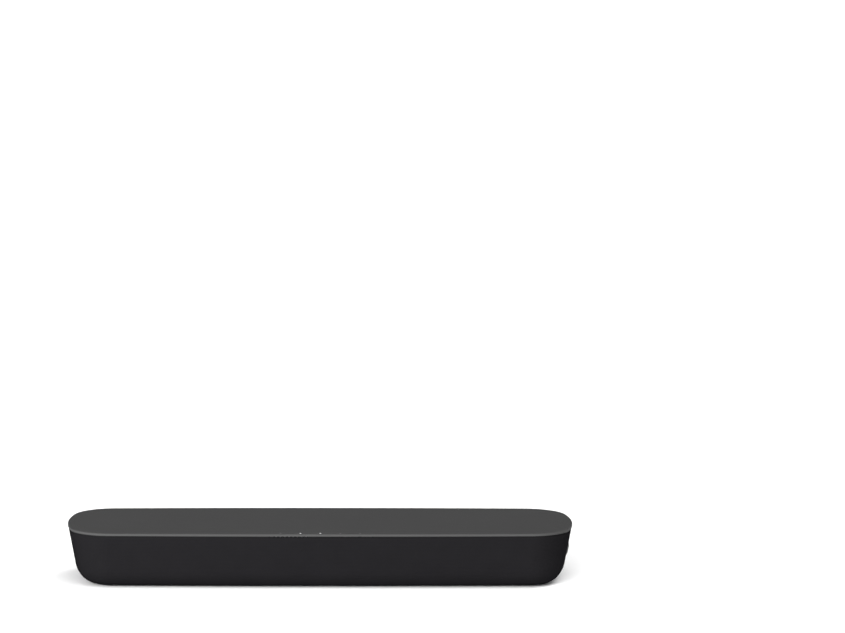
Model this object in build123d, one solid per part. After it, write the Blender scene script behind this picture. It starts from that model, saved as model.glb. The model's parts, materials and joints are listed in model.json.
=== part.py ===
from build123d import *
from functools import lru_cache
from math import cos, radians, sin, sqrt, tan
import os

# A compact active soundbar: a lid, a cloth-covered grille frame that wraps the front and the
# ends, a rear cover with the sockets, two race-track drivers in their own boxes, two boards.
# Millimetres. +X is right as seen from the front, the front faces -Y, and Z = 0 is under the feet.

# Overall form
length = 450.0
depth = 135.0
height = 51.0
side_radius = 6800.0      # slow bow of the front and back
end_radius = 160.0        # bow of the ends
corner_radius = 38.0
draft = 10.6              # degrees that the sides lean in towards the underside
edge_radius = 18.0        # round between the sides and the underside

# Openings in the shells
slot_count = 18           # sound slots in the grille frame, for each driver
slot_pitch = 5.0
slot_width = 3.0
slot_reach = 13.0         # above and below the driver's axis
floor_vents = 9           # in each of the two rows under the boards
floor_vent_pitch = 9.0
floor_vent_width = 2.4
floor_vent_row = 16.0
floor_vent_reach = 11.0
rear_vents = 5            # on each side of the socket bay
rear_vent_start = 66.0
rear_vent_pitch = 4.0
rear_vent_width = 2.0
rear_vent_reach = 10.5

# Shells
lid_edge = 2.6
lid_round = 0.9
reveal = 0.4              # shadow gap under the lid, and how far the sides sit in from its edge
cloth = 0.6
frame_wall = 2.0
case_wall = 2.2
floor_wall = 2.4
cover_wall = 2.4
skin_gap = 0.1            # between shells that lie one inside the other
joint_gap = 0.3           # between the edges of neighbouring shells
foot_proud = 0.5
tray_top = 12.0           # height of the bottom case's upstand
cover_half = 150.0        # half width of the rear cover
rib_depth = 2.9           # the lid's locating rib
rib_wall = 1.5
rib_gap = 0.2

# Fasteners
post_radius = 4.0
lid_boss_drop = 9.4       # the lid's bosses reach down this far to the case's posts
post_cap = 6.0            # length of the narrow hole at the top of a post
post_margin = 1.1         # between a post and the edge of the flat floor
near_post_x = 62.5
end_post_y = -10.0
head_radius = 2.7
head_height = 2.2
shank_radius = 1.4
hole_gap = 0.3            # round a screw that passes through
thread_gap = 0.05
small_head = 2.2          # board screws
small_shank = 1.0
board_post_radius = 3.0
foot_radius = 7.0
foot_recess = 1.0
foot_setback_x = 75.0
foot_setback_y = 38.5

# Drivers and their boxes
driver_offset = 125.0
driver_z = 28.0
baffle_gap = 0.4          # between a driver's gasket and the bottom case's upstand
baffle_wall = 3.0
flange_length = 98.0
flange_height = 33.0
flange_wall = 1.5
gasket_wall = 0.8
roll = 3.0                # width of the surround's roll
lip = 1.0                 # glued rim outside the roll
side_landing = 2.5        # flat of the flange outside the glued rim, along the long sides
end_landing = 4.0         # the same at the flange's ends
rim_gap = 0.3             # round the glued rim, in the gasket and in the box's opening
driver_screw_in_x, driver_screw_in_y = 4.5, 3.7
driver_shank = 1.3
cone_depth = 8.2
cone_skin = 0.7
coil_radius = 6.5
coil_gap = 0.5
magnet_radius = 16.0
magnet_length = 8.0
plate_length = 3.0
basket_depth = 10.5
box_wall = 2.0
box_inner_x = 70.0
box_low = 6.6
box_head_gap = 2.2        # under the lid
box_post_gap = 1.5        # beside the posts
box_skin_gap = 0.4        # inside the bottom case's curve

# Rear: sockets, ports and wall fixings
bay_half = 56.0
bay_low = 14.5
bay_high = 36.5
bay_depth = 21.5          # the sockets' face plate, ahead of the lid's back edge
bay_wall = 2.0
port_x = 100.0
port_radius = 8.5
port_wall = 1.5
port_flare = 2.5
port_inner_end = 0.0
rear_z = 28.0
insert_x = 130.0
insert_radius = 3.6
insert_bore = 2.1         # tapped M5
insert_length = 10.0
insert_setback = 7.5
socket_proud = 0.8
socket_gap = 0.2

# Boards
board_z = 16.0
board_wall = 1.6
main_left, main_right = -56.0, 14.0
power_left, power_right = 18.0, 56.0
board_front = -34.0
board_gap = 4.0           # between the boards' rear edge and the sockets' face plate

# Side keys
key_z = 28.0
key_pitch = 13.0
key_length = 11.0
key_height = 4.6
key_proud = 0.6
key_travel = 0.6
bezel_proud = 0.25
bezel_length = 54.0
bezel_height = 7.0
bezel_foot = 9.8          # height of the bezel's hidden flange
key_gap = 0.12
key_board_setback = 16.0

# Indicators
light_pitch = 17.5
light_radius = 0.8
light_setback = 3.5       # behind the lid's front edge
light_notch = 45.0        # half width of the clearance for the indicator board
light_board_drop = 6.2    # under the lid
light_boss_x = 43.0

# Internal leads
lead_radius = 1.1
lead_hole_y, lead_hole_z = -8.0, 25.0

# Derived places
base_z = foot_proud
lid_low = height - lid_edge
post_joint = lid_low - lid_boss_drop
head_seat = post_joint - post_cap
seam_z = lid_low - reveal
floor_z = base_z + floor_wall
board_top = board_z + board_wall
cone_height = flange_height - 2 * (roll + lip + side_landing)
straight = flange_length - cone_height - 2 * (roll + lip + end_landing)
side_run = (seam_z - base_z) * tan(radians(draft))
tangent_run = edge_radius * tan(radians((90 - draft) / 2))
floor_inset = reveal + side_run + tangent_run + 0.3
frame_skin = cloth + skin_gap
frame_inner = frame_skin + frame_wall
case_skin = frame_inner + skin_gap
case_inner = case_skin + case_wall


def side_bow(x):
    # how far the side's outline has fallen back at a distance from the middle
    return side_radius - sqrt(side_radius ** 2 - x ** 2)


def wall_inset(skin, z):
    # how far inside the outline a shell lies that is offset inwards by skin, at a height
    inner = edge_radius - skin
    drop = base_z + edge_radius - z
    if drop > inner * sin(radians(draft)):
        return reveal + side_run + tangent_run - sqrt(inner ** 2 - drop ** 2)
    return reveal + (seam_z - z) * tan(radians(draft)) + skin / cos(radians(draft))


post_inset = floor_inset + post_radius + post_margin
end_post_x = length / 2 - post_inset
corner_post_x, corner_post_y = length / 2 - post_inset - 11.5, depth / 2 - post_inset - 2.5
box_outer_x = end_post_x - post_radius - box_post_gap
box_back = corner_post_y - post_radius - box_post_gap
box_top = lid_low - box_head_gap
driver_low = driver_z - flange_height / 2
driver_bow = side_bow(driver_offset + flange_length / 2)
driver_stack = flange_wall + gasket_wall + baffle_gap
baffle_front = depth / 2 - wall_inset(case_inner, driver_low) - driver_bow - driver_stack
bay_floor = depth / 2 - bay_depth
board_back = bay_floor - board_gap
insert_seat = depth / 2 - insert_setback
key_board_x = length / 2 - key_board_setback
light_board_z = lid_low - light_board_drop
light_boss_y = -depth / 2 + 10.0


def block(x, y, z):
    size = [high - low for low, high in (x, y, z)]
    middle = [(low + high) / 2 for low, high in (x, y, z)]
    return Pos(*middle) * Box(*size)


def rod(start, direction, radius, run):
    along = Plane(origin=start, z_dir=direction)
    return along * Cylinder(radius, run, align=(Align.CENTER, Align.CENTER, Align.MIN))


def tube(start, direction, outer, inner, run):
    return rod(start, direction, outer, run) - rod(start, direction, inner, run)


def save(name, *solids):
    parts = [solid for shape in solids for solid in shape.solids()]
    shape = parts[0] if len(parts) == 1 else Compound(parts)
    export_step(shape, f"parts/{name}.step")
    print(name, len(parts), round(sum(part.volume for part in parts)))


# The plan outline: bowed sides and ends joined by tangent corner arcs.
def outline_arcs(inset):
    side = Vector(0, depth / 2 - side_radius)
    end = Vector(length / 2 - end_radius, 0)
    far, near = side_radius - corner_radius, end_radius - corner_radius
    gap = (end - side).length
    along = (far ** 2 - near ** 2 + gap ** 2) / (2 * gap)
    across = sqrt(far ** 2 - along ** 2)
    line = (end - side).normalized()
    corner = side + line * along + Vector(line.Y, -line.X) * across
    from_side, from_end = (corner - side).normalized(), (corner - end).normalized()
    side_end = side + from_side * (side_radius - inset)
    end_start = end + from_end * (end_radius - inset)
    corner_mid = corner + (from_side + from_end).normalized() * (corner_radius - inset)
    return side_end, corner_mid, end_start


def plan(inset):
    side_end, corner_mid, end_start = outline_arcs(inset)

    def at(point, sx, sy):
        return (point.X * sx, point.Y * sy)

    arcs = []
    for sy in (1, -1):
        middle = (0, sy * (depth / 2 - inset))
        arcs.append(ThreePointArc(at(side_end, -1, sy), middle, at(side_end, 1, sy)))
    for sx in (1, -1):
        middle = (sx * (length / 2 - inset), 0)
        arcs.append(ThreePointArc(at(end_start, sx, -1), middle, at(end_start, sx, 1)))
        for sy in (1, -1):
            arcs.append(ThreePointArc(at(side_end, sx, sy), at(corner_mid, sx, sy), at(end_start, sx, sy)))
    return make_face(Wire(arcs))


def prism(inset, low, high):
    return extrude(Pos(0, 0, low) * plan(inset), amount=high - low)


@lru_cache(maxsize=None)
def form(inset):
    # the body's outer form, offset inwards: drafted sides and a round towards the underside
    top = Pos(0, 0, seam_z) * plan(reveal + inset / cos(radians(draft)))
    low = base_z + inset
    solid = extrude(top, amount=seam_z - low, dir=(0, 0, -1), taper=draft)
    edges = [edge for edge in solid.edges() if abs(edge.bounding_box().max.Z - low) < 0.001]
    return fillet(edges, edge_radius - inset)


def rear_zone(half):
    return block((-half, half), (box_back, depth), (-1, height + 1))


def post_places():
    near_y = depth / 2 - post_inset
    near = [(sx * near_post_x, sy * near_y) for sx in (-1, 1) for sy in (-1, 1)]
    far = [(sx * corner_post_x, corner_post_y) for sx in (-1, 1)]
    ends = [(sx * end_post_x, end_post_y) for sx in (-1, 1)]
    return near + far + ends


def foot_places():
    x, y = length / 2 - foot_setback_x, depth / 2 - foot_setback_y
    return [(sx * x, sy * y) for sx in (-1, 1) for sy in (-1, 1)]


def light_places():
    front = -(depth / 2 - light_setback)
    return [(step * light_pitch, front) for step in (-2, -1, 0, 1, 2)]


def end_prism(y, run, tall, start=150.0):
    # a round-ended prism along X at the right end, for the keys and what holds them
    across = Plane(origin=(start, y, key_z), x_dir=(0, 1, 0), z_dir=(1, 0, 0))
    return extrude(across * SlotOverall(run, tall), amount=length / 2 + 20 - start)


def key_places():
    return [key_pitch * step for step in (-1.5, -0.5, 0.5, 1.5)]


# Casing

def indicator_bosses():
    return [(sx * light_boss_x, light_boss_y) for sx in (-1, 1)]


def make_top_panel():
    lid = prism(0, lid_low, height)
    upper = [edge for edge in lid.edges() if edge.bounding_box().min.Z > height - 0.001]
    lid = fillet(upper, lid_round)
    outer = wall_inset(frame_inner, seam_z - rib_depth) + rib_gap
    rib = prism(outer, lid_low - rib_depth, lid_low) - prism(outer + rib_wall, lid_low - rib_depth, lid_low)
    rib -= block((-light_notch, light_notch), (-depth, -40), (30, height))
    lid += rib
    for x, y in post_places():
        lid += rod((x, y, post_joint + skin_gap), (0, 0, 1), post_radius - 0.5, lid_low - post_joint)
        lid -= rod((x, y, post_joint - 1), (0, 0, 1), shank_radius + thread_gap, lid_low - post_joint)
    for x, y in indicator_bosses():
        low = light_board_z + board_wall
        lid += rod((x, y, low), (0, 0, 1), 2.4, lid_low - low + 0.5)
        lid -= rod((x, y, low - 1), (0, 0, 1), small_shank + thread_gap, 5)
    for x, y in light_places():
        lid -= rod((x, y, lid_low - 1), (0, 0, 1), light_radius + skin_gap, lid_edge + 2)
    save("top_panel", lid)


def grille_region(solid):
    solid -= prism(floor_inset, -1, base_z + frame_inner + 0.5)
    solid -= rear_zone(cover_half + joint_gap)
    return solid


def make_grille():
    skin = grille_region(form(0.0) - form(cloth))
    skin -= end_prism(0, bezel_length + 2 * socket_gap, bezel_height + 2 * socket_gap)
    save("grille_cloth", skin)
    frame = grille_region(form(frame_skin) - form(frame_inner))
    frame -= end_prism(0, bezel_length + 2 * socket_gap, bezel_height + 2 * socket_gap)
    frame -= block((-light_notch, light_notch), (-depth, -50), (seam_z - 1.6, height))
    slots = []
    for side in (-1, 1):
        for step in range(slot_count):
            x = side * driver_offset + (step - (slot_count - 1) / 2) * slot_pitch
            span = (x - slot_width / 2, x + slot_width / 2)
            tall = (driver_z - slot_reach, driver_z + slot_reach)
            slots.append(block(span, (-depth, -baffle_front - 4), tall))
    frame -= slots
    save("grille_frame", frame)


def make_bottom_case():
    wall = form(case_skin) & block((-length, length), (-depth, depth), (0, tray_top))
    case = wall + (form(0.0) & prism(floor_inset + joint_gap, 0, tray_top))
    case -= form(case_inner)
    case -= prism(floor_inset + joint_gap + case_wall, floor_z, tray_top + 1)
    for x, y in post_places():
        case += rod((x, y, base_z), (0, 0, 1), post_radius, post_joint - base_z)
        case -= rod((x, y, base_z - 1), (0, 0, 1), head_radius + hole_gap, head_seat - base_z + 1)
        case -= rod((x, y, head_seat - 1), (0, 0, 1), shank_radius + hole_gap, post_joint)
    for x, y in board_corners():
        case += rod((x, y, floor_z - 0.5), (0, 0, 1), board_post_radius, board_z - floor_z + 0.5)
        case -= rod((x, y, floor_z + 1), (0, 0, 1), small_shank + thread_gap, board_z)
    for x, y in foot_places():
        case -= rod((x, y, base_z - 1), (0, 0, 1), foot_radius + skin_gap, foot_recess + 1)
    vents = []
    for step in range(floor_vents):
        for y in (-floor_vent_row, floor_vent_row):
            x = (step - (floor_vents - 1) / 2) * floor_vent_pitch
            span = (x - floor_vent_width / 2, x + floor_vent_width / 2)
            vents.append(block(span, (y - floor_vent_reach, y + floor_vent_reach), (0, floor_z + 1)))
    case -= vents
    save("bottom_case", case)
    feet = []
    for x, y in foot_places():
        foot = rod((x, y, 0), (0, 0, 1), foot_radius, base_z + foot_recess)
        low = [edge for edge in foot.edges() if edge.bounding_box().max.Z < 0.001]
        feet.append(fillet(low, 0.5))
    save("rubber_feet", *feet)
    screws = []
    for x, y in post_places():
        screw = rod((x, y, head_seat - head_height), (0, 0, 1), head_radius, head_height)
        screw += rod((x, y, head_seat), (0, 0, 1), shank_radius, lid_low - head_seat - 3)
        drive = rod((x, y, head_seat - head_height - 1), (0, 0, 1), 1.1, 2.0)
        screws.append(screw - drive)
    save("case_screws", *screws)


def make_rear_cover():
    cover = form(0.0) - form(cover_wall)
    cover -= prism(floor_inset, -1, base_z + cover_wall + 0.5)
    cover = cover & rear_zone(cover_half)
    tub_x = (-bay_half - bay_wall, bay_half + bay_wall)
    tub_z = (bay_low - bay_wall, bay_high + bay_wall)
    tub = block(tub_x, (bay_floor - bay_wall, depth), tub_z) & form(0.0)
    cover += tub
    for side in (-1, 1):
        cover += rod((side * insert_x, insert_seat - insert_length, rear_z), (0, 1, 0),
                     insert_radius + 3, insert_length) & form(0.0)
    cover -= block((-bay_half, bay_half), (bay_floor, depth), (bay_low, bay_high))
    for side in (-1, 1):
        x = side * insert_x
        cover -= rod((x, insert_seat, rear_z), (0, 1, 0), insert_radius + 4, depth)
        cover -= rod((x, 0, rear_z), (0, 1, 0), insert_radius + thread_gap, depth)
        mouth_radius = port_radius + port_wall + port_flare
        cover -= rod((side * port_x, 0, rear_z), (0, 1, 0), mouth_radius + 2 * skin_gap, depth)
        for step in range(rear_vents):
            x = side * (rear_vent_start + rear_vent_pitch * step)
            span = (x - rear_vent_width / 2, x + rear_vent_width / 2)
            cover -= block(span, (bay_floor, depth), (rear_z - rear_vent_reach, rear_z + rear_vent_reach))
    for x, wide, tall in socket_places().values():
        low = board_top - socket_gap
        span = (x - wide / 2 - socket_gap, x + wide / 2 + socket_gap)
        cover -= block(span, (0, bay_floor + 1), (low, board_top + tall + socket_gap))
    save("rear_cover", cover)
    inserts = []
    for side in (-1, 1):
        start = (side * insert_x, insert_seat - insert_length, rear_z)
        inserts.append(tube(start, (0, 1, 0), insert_radius, insert_bore, insert_length))
    save("wall_mount_inserts", *inserts)


def make_ports():
    inner, outer = port_radius, port_radius + port_wall
    for name, side in (("left", -1), ("right", 1)):
        mouth = depth / 2 - 3.0
        section = Polyline((inner, port_inner_end), (outer, port_inner_end), (outer, mouth - 8),
                           (outer + port_flare, mouth - 2), (outer + port_flare, mouth + 5),
                           (inner + port_flare + 2, mouth + 5), (inner + port_flare, mouth - 2),
                           (inner, mouth - 8), (inner, port_inner_end))
        plane = Plane(origin=(side * port_x, 0, rear_z), x_dir=(1, 0, 0), z_dir=(0, 0, 1))
        profile = plane * make_face(section)
        axis = Axis((side * port_x, 0, rear_z), (0, 1, 0))
        save(f"{name}_port_tube", revolve(profile, axis) & form(joint_gap))


# Drivers

def race(tall):
    return SlotOverall(straight + tall, tall)


def driver_plane(side):
    return Plane(origin=(side * driver_offset, -baffle_front, driver_z), x_dir=(1, 0, 0), z_dir=(0, 1, 0))


def flange_holes():
    x, y = flange_length / 2 - driver_screw_in_x, flange_height / 2 - driver_screw_in_y
    return [(sx * x, sy * y) for sx in (-1, 1) for sy in (-1, 1)]


def at_depth(low, high, outer, inner=None):
    # an extruded sketch between two depths behind the baffle's face
    solid = extrude(Pos(0, 0, low) * outer, amount=high - low)
    if inner is not None:
        solid -= extrude(Pos(0, 0, low) * inner, amount=high - low)
    return solid


def race_sweep(profile):
    # carries a radial profile (radius, depth) round the race-track outline
    half = straight / 2
    solid = None
    for side in (-1, 1):
        start = Plane(origin=(side * half, 0, 0), x_dir=(0, side, 0), z_dir=(side, 0, 0))
        turn = revolve(Plane(origin=(side * half, 0, 0), x_dir=(0, 1, 0), z_dir=(1, 0, 0)) * profile,
                       Axis((side * half, 0, 0), (0, 0, side)), -180)
        solid = turn if solid is None else solid + turn
    for side in (-1, 1):
        section = Plane(origin=(-half, 0, 0), x_dir=(0, side, 0), z_dir=(side, 0, 0)) * profile
        solid += extrude(section, amount=side * straight)
    return solid


def make_driver(name, side):
    place = driver_plane(side).location
    cone_edge = cone_height / 2
    roll_edge = cone_edge + roll
    lip_edge = roll_edge + lip
    front = -flange_wall

    flange = RectangleRounded(flange_length, flange_height, 5)
    for x, y in flange_holes():
        flange -= Pos(x, y) * Circle(driver_shank + 0.2)
    opening = 2 * (roll_edge - 0.6)
    frame = at_depth(front, 0, flange, race(opening))
    shell_top, shell_low = race(2 * roll_edge + 1), SlotOverall(40, 2 * roll_edge + 1)
    hollow_top, hollow_low = race(opening), SlotOverall(36, opening)
    basket = loft([Pos(0, 0, -0.5) * shell_top, Pos(0, 0, basket_depth) * shell_low])
    hollow = loft([Pos(0, 0, -0.5) * hollow_top, Pos(0, 0, basket_depth) * hollow_low])
    for x in (-24, 24):
        basket -= Pos(x, 0, 5.4) * Box(15, 60, 5.4)
    frame += (basket - hollow) & block((-60, 60), (-30, 30), (-0.2, basket_depth))
    back = SlotOverall(40, 2 * roll_edge + 1) + Pos(-side * 21, 0) * Rectangle(12, 6)
    frame += at_depth(basket_depth, basket_depth + flange_wall, back, Circle(coil_radius + 3))
    save(f"{name}_driver_frame", place * frame)

    glued = at_depth(front - 0.5, front, race(2 * lip_edge), race(2 * roll_edge - 0.4))
    outer = ThreePointArc((cone_edge, front), (cone_edge + roll / 2, front - roll / 2), (roll_edge, front))
    inner = ThreePointArc((roll_edge - 0.5, front), (cone_edge + roll / 2, front - roll / 2 + 0.5),
                          (cone_edge + 0.5, front))
    outer_lip = Line((roll_edge, front), (roll_edge - 0.5, front))
    inner_lip = Line((cone_edge + 0.5, front), (cone_edge, front))
    section = make_face(Wire([outer, outer_lip, inner, inner_lip]))
    save(f"{name}_surround", place * (race_sweep(section) + glued))

    wide, narrow = race(cone_height - 0.2), SlotOverall(2 * coil_radius + 1.2, 2 * coil_radius + 1)
    body = loft([Pos(0, 0, front + 0.2) * wide, Pos(0, 0, front + cone_depth) * narrow])
    cone = body - Pos(0, 0, -cone_skin) * body
    cone -= at_depth(0, 20, Circle(coil_radius - 0.4))
    save(f"{name}_cone", place * cone)

    rise, reach = 3.0, coil_radius + 0.1
    ball = (reach ** 2 + rise ** 2) / (2 * rise)
    base = front + cone_depth - cone_skin - 0.35
    cap = Pos(0, 0, base - rise + ball) * (Sphere(ball) - Sphere(ball - 0.5))
    cap = cap & Pos(0, 0, base - 5) * Box(40, 40, 10)
    save(f"{name}_dust_cap", place * cap)

    coil_low = front + cone_depth + 0.05
    coil = at_depth(coil_low, coil_low + 10, Circle(coil_radius), Circle(coil_radius - 0.3))
    coil += at_depth(coil_low + 4.2, coil_low + 9.6, Circle(coil_radius + 0.4), Circle(coil_radius - 0.1))
    save(f"{name}_voice_coil", place * coil)

    spider_hole = Circle(coil_radius + 0.15)
    spider = at_depth(basket_depth - 0.5, basket_depth, Circle(coil_radius + 4.6), spider_hole)
    for step in range(3):
        radius = coil_radius + 0.9 + step
        spider += at_depth(basket_depth - 1.0, basket_depth - 0.4, Circle(radius + 0.35), Circle(radius))
    save(f"{name}_spider", place * spider)

    plate_low = basket_depth + flange_wall
    hole = Circle(coil_radius + 0.4 + coil_gap)
    magnet_low = plate_low + plate_length
    back_low = magnet_low + magnet_length
    save(f"{name}_top_plate", place * at_depth(plate_low, magnet_low, Circle(magnet_radius - 1), hole))
    magnet_hole = Circle(coil_radius + 2.5)
    save(f"{name}_magnet", place * at_depth(magnet_low, back_low, Circle(magnet_radius), magnet_hole))
    yoke = at_depth(back_low, back_low + plate_length, Circle(magnet_radius - 1))
    yoke += at_depth(plate_low, back_low, Circle(coil_radius - 0.3 - coil_gap))
    save(f"{name}_yoke", place * yoke)


def rim_opening():
    # clears the surround's glued rim
    return race(cone_height + 2 * (roll + lip + rim_gap))


def make_gaskets():
    ring = RectangleRounded(flange_length, flange_height, 5) - rim_opening()
    for x, y in flange_holes():
        ring -= Pos(x, y) * Circle(3.0)
    gasket = at_depth(-flange_wall - gasket_wall, -flange_wall, ring)
    save("driver_gaskets", *[driver_plane(side).location * gasket for side in (-1, 1)])


def make_driver_screws():
    screws = []
    for side in (-1, 1):
        for x, y in flange_holes():
            screw = at_depth(-flange_wall - 1.4, -flange_wall, Circle(2.5))
            screw += at_depth(-flange_wall, baffle_wall + 3, Circle(driver_shank))
            screw -= at_depth(-flange_wall - 2, -flange_wall - 0.6, Circle(0.9))
            screws.append(driver_plane(side).location * Pos(x, y, 0) * screw)
    save("driver_screws", *screws)


def make_enclosure(name, side):
    def span(low, high):
        return (low, high) if side > 0 else (-high, -low)

    outer = block(span(box_inner_x, box_outer_x), (-baffle_front, box_back), (box_low, box_top))
    outer = outer & form(case_inner + box_skin_gap)
    room = block(span(box_inner_x + box_wall, box_outer_x - box_wall),
                 (-baffle_front + baffle_wall, box_back - box_wall),
                 (box_low + box_wall, box_top - box_wall))
    box = outer - (room & form(case_inner + box_skin_gap + box_wall))
    place = driver_plane(side).location
    box -= place * at_depth(-5, baffle_wall + 1, rim_opening())
    for x, y in flange_holes():
        box -= place * Pos(x, y, 0) * at_depth(-1, baffle_wall + 1, Circle(driver_shank + thread_gap))
    box -= rod((side * port_x, box_back - 10, rear_z), (0, 1, 0), port_radius + port_wall + skin_gap, 20)
    box -= rod((0, lead_hole_y, lead_hole_z), (side, 0, 0), lead_radius + 1.2, box_inner_x + 10)
    save(f"{name}_enclosure", box)


# Boards and sockets

def board_corners():
    return [(x, y) for left, right in ((main_left, main_right), (power_left, power_right))
            for x in (left + 5, right - 5) for y in (board_front + 5, board_back - 14)]


def socket_places():
    # centre, width and height of each socket, standing on the boards' rear edge
    return {"hdmi_socket": (-44.0, 15.0, 6.0), "optical_socket": (-24.0, 10.0, 10.4),
            "usb_socket": (-4.0, 13.2, 6.2), "mains_inlet": (37.0, 24.0, 15.0)}


def make_board(name, left, right):
    board = block((left, right), (board_front, board_back), (board_z, board_top))
    for x, y in board_corners():
        if left < x < right:
            board -= rod((x, y, board_z - 1), (0, 0, 1), small_shank + hole_gap, 5)
    save(name, board)


def make_board_parts():
    top = board_top
    chip = block((-35, -25), (-8, 2), (top, top + 1.2))
    save("amplifier_chip", chip)
    sink = block((-44, -12), (-18, 12), (top + 1.2, top + 4.2))
    for step in range(9):
        x = -43.2 + 3.8 * step
        sink += block((x - 0.7, x + 0.7), (-18, 12), (top + 4, 41))
    save("heat_sink", sink)
    radio = block((-9, 4), (-12, 8), (top, top + 1)) + block((-8, 3), (-6, 6), (top + 1, top + 3))
    save("radio_module", radio)
    small = [rod((x, 19, top), (0, 0, 1), 3.0, 11) for x in (-46, -38, -30, -22, -14, -6)]
    save("signal_capacitors", *small)
    tall = [rod((x, -20, top), (0, 0, 1), 6.5, 22) for x in (27, 43)]
    save("power_capacitors", *tall)
    core = block((25, 49), (6, 26), (top + 1, top + 19)) - block((29, 45), (0, 30), (top + 5, top + 15))
    core += block((34, 40), (6, 26), (top + 4, top + 16))
    winding = block((29.2, 44.8), (3.5, 28.5), (top + 5.2, top + 14.8))
    winding -= block((33.8, 40.2), (0, 30), (top, top + 19))
    legs = block((27, 47), (8, 24), (top, top + 1))
    save("transformer", core + legs, winding)
    headers = []
    for x, y in ((-50.0, -14.0), (8.5, -14.0)):
        headers.append(block((x - 3, x + 3), (y - 3, y + 3), (top, top + 6)))
    save("lead_connectors", *headers)
    screws = []
    for x, y in board_corners():
        screw = rod((x, y, top), (0, 0, 1), small_head, 1.5)
        screw += rod((x, y, board_z - 6), (0, 0, 1), small_shank, board_wall + 6)
        screws.append(screw - rod((x, y, top + 0.7), (0, 0, 1), 0.8, 2))
    for x, y in indicator_bosses():
        screw = rod((x, y, light_board_z - 1.3), (0, 0, 1), 2.0, 1.3)
        screws.append(screw + rod((x, y, light_board_z), (0, 0, 1), small_shank, 4.5))
    save("board_screws", *screws)


def socket_body(x, wide, tall, run):
    face = bay_floor + socket_proud
    return block((x - wide / 2, x + wide / 2), (face - run, face), (board_top, board_top + tall))


def rear_plane(x, z):
    return Plane(origin=(x, bay_floor + socket_proud, z), x_dir=(-1, 0, 0), z_dir=(0, 1, 0))


def make_sockets():
    places = socket_places()
    x, wide, tall = places["hdmi_socket"]
    z = board_top + tall / 2
    half_w, half_h = wide / 2 - 0.5, tall / 2 - 0.65
    slant = 1.6
    mouth = make_face(Polyline((-half_w, half_h), (half_w, half_h), (half_w, slant - half_h),
                               (half_w - slant, -half_h), (slant - half_w, -half_h),
                               (-half_w, slant - half_h), (-half_w, half_h)))
    hdmi = socket_body(x, wide, tall, 12.0) - extrude(rear_plane(x, z) * mouth, amount=-10)
    hdmi += extrude(rear_plane(x, z) * Rectangle(wide - 4, 1.0), amount=-11) - socket_cut(x, z, 1.2)
    save("hdmi_socket", hdmi)
    x, wide, tall = places["usb_socket"]
    z = board_top + tall / 2
    usb = socket_body(x, wide, tall, 13.0)
    usb -= extrude(rear_plane(x, z) * Rectangle(wide - 0.8, tall - 0.8), amount=-11)
    usb += extrude(rear_plane(x, z + 1.2) * Rectangle(wide - 2.4, 1.6), amount=-12) - socket_cut(x, z, 0.8)
    save("usb_socket", usb)
    make_optical(*places["optical_socket"])
    x, wide, tall = places["mains_inlet"]
    z = board_top + tall / 2
    inlet = socket_body(x, wide, tall, 18.0)
    eight = Pos(3.8, 0) * Circle(4.4) + Pos(-3.8, 0) * Circle(4.4) + Rectangle(7.6, 6.6)
    inlet -= extrude(rear_plane(x, z) * eight, amount=-12)
    for pin in (-4.3, 4.3):
        inlet += rod((x + pin, bay_floor - 12, z), (0, 1, 0), 1.2, 11)
    save("mains_inlet", inlet)


def socket_cut(x, z, setback):
    # trims a socket's tongue back from its mouth
    face = bay_floor + socket_proud
    return block((x - 20, x + 20), (face - setback, face + 5), (z - 20, z + 20))


def make_optical(x, wide, tall):
    well, well_depth, pivot = 8.4, 10.0, 1.1
    z = board_top + tall / 2
    face = bay_floor + socket_proud
    body = socket_body(x, wide, tall, 13.0)
    body -= block((x - well / 2, x + well / 2), (face - well_depth, face + 1), (z - well / 2, z + well / 2))
    body += rod((x, face - well_depth - 0.5, z - 0.2), (0, 1, 0), 1.4, 1.3)
    axis_y, axis_z = face - pivot, z + well / 2 - pivot
    body -= rod((x - wide / 2 + 0.1, axis_y, axis_z), (1, 0, 0), 0.45, wide - 0.2)
    save("optical_socket", body)
    flap_half = well / 2 - 0.2
    flap = rod((x - flap_half, axis_y, axis_z), (1, 0, 0), 0.75, 2 * flap_half)
    flap += block((x - flap_half, x + flap_half), (axis_y - 0.4, axis_y + 0.4), (z - well / 2 + 0.3, axis_z))
    flap += rod((x - wide / 2 + 0.2, axis_y, axis_z), (1, 0, 0), 0.4, wide - 0.4)
    save("optical_shutter", flap)
    print("optical shutter axis", round(axis_y, 3), round(axis_z, 3))


# Keys and indicators

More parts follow.
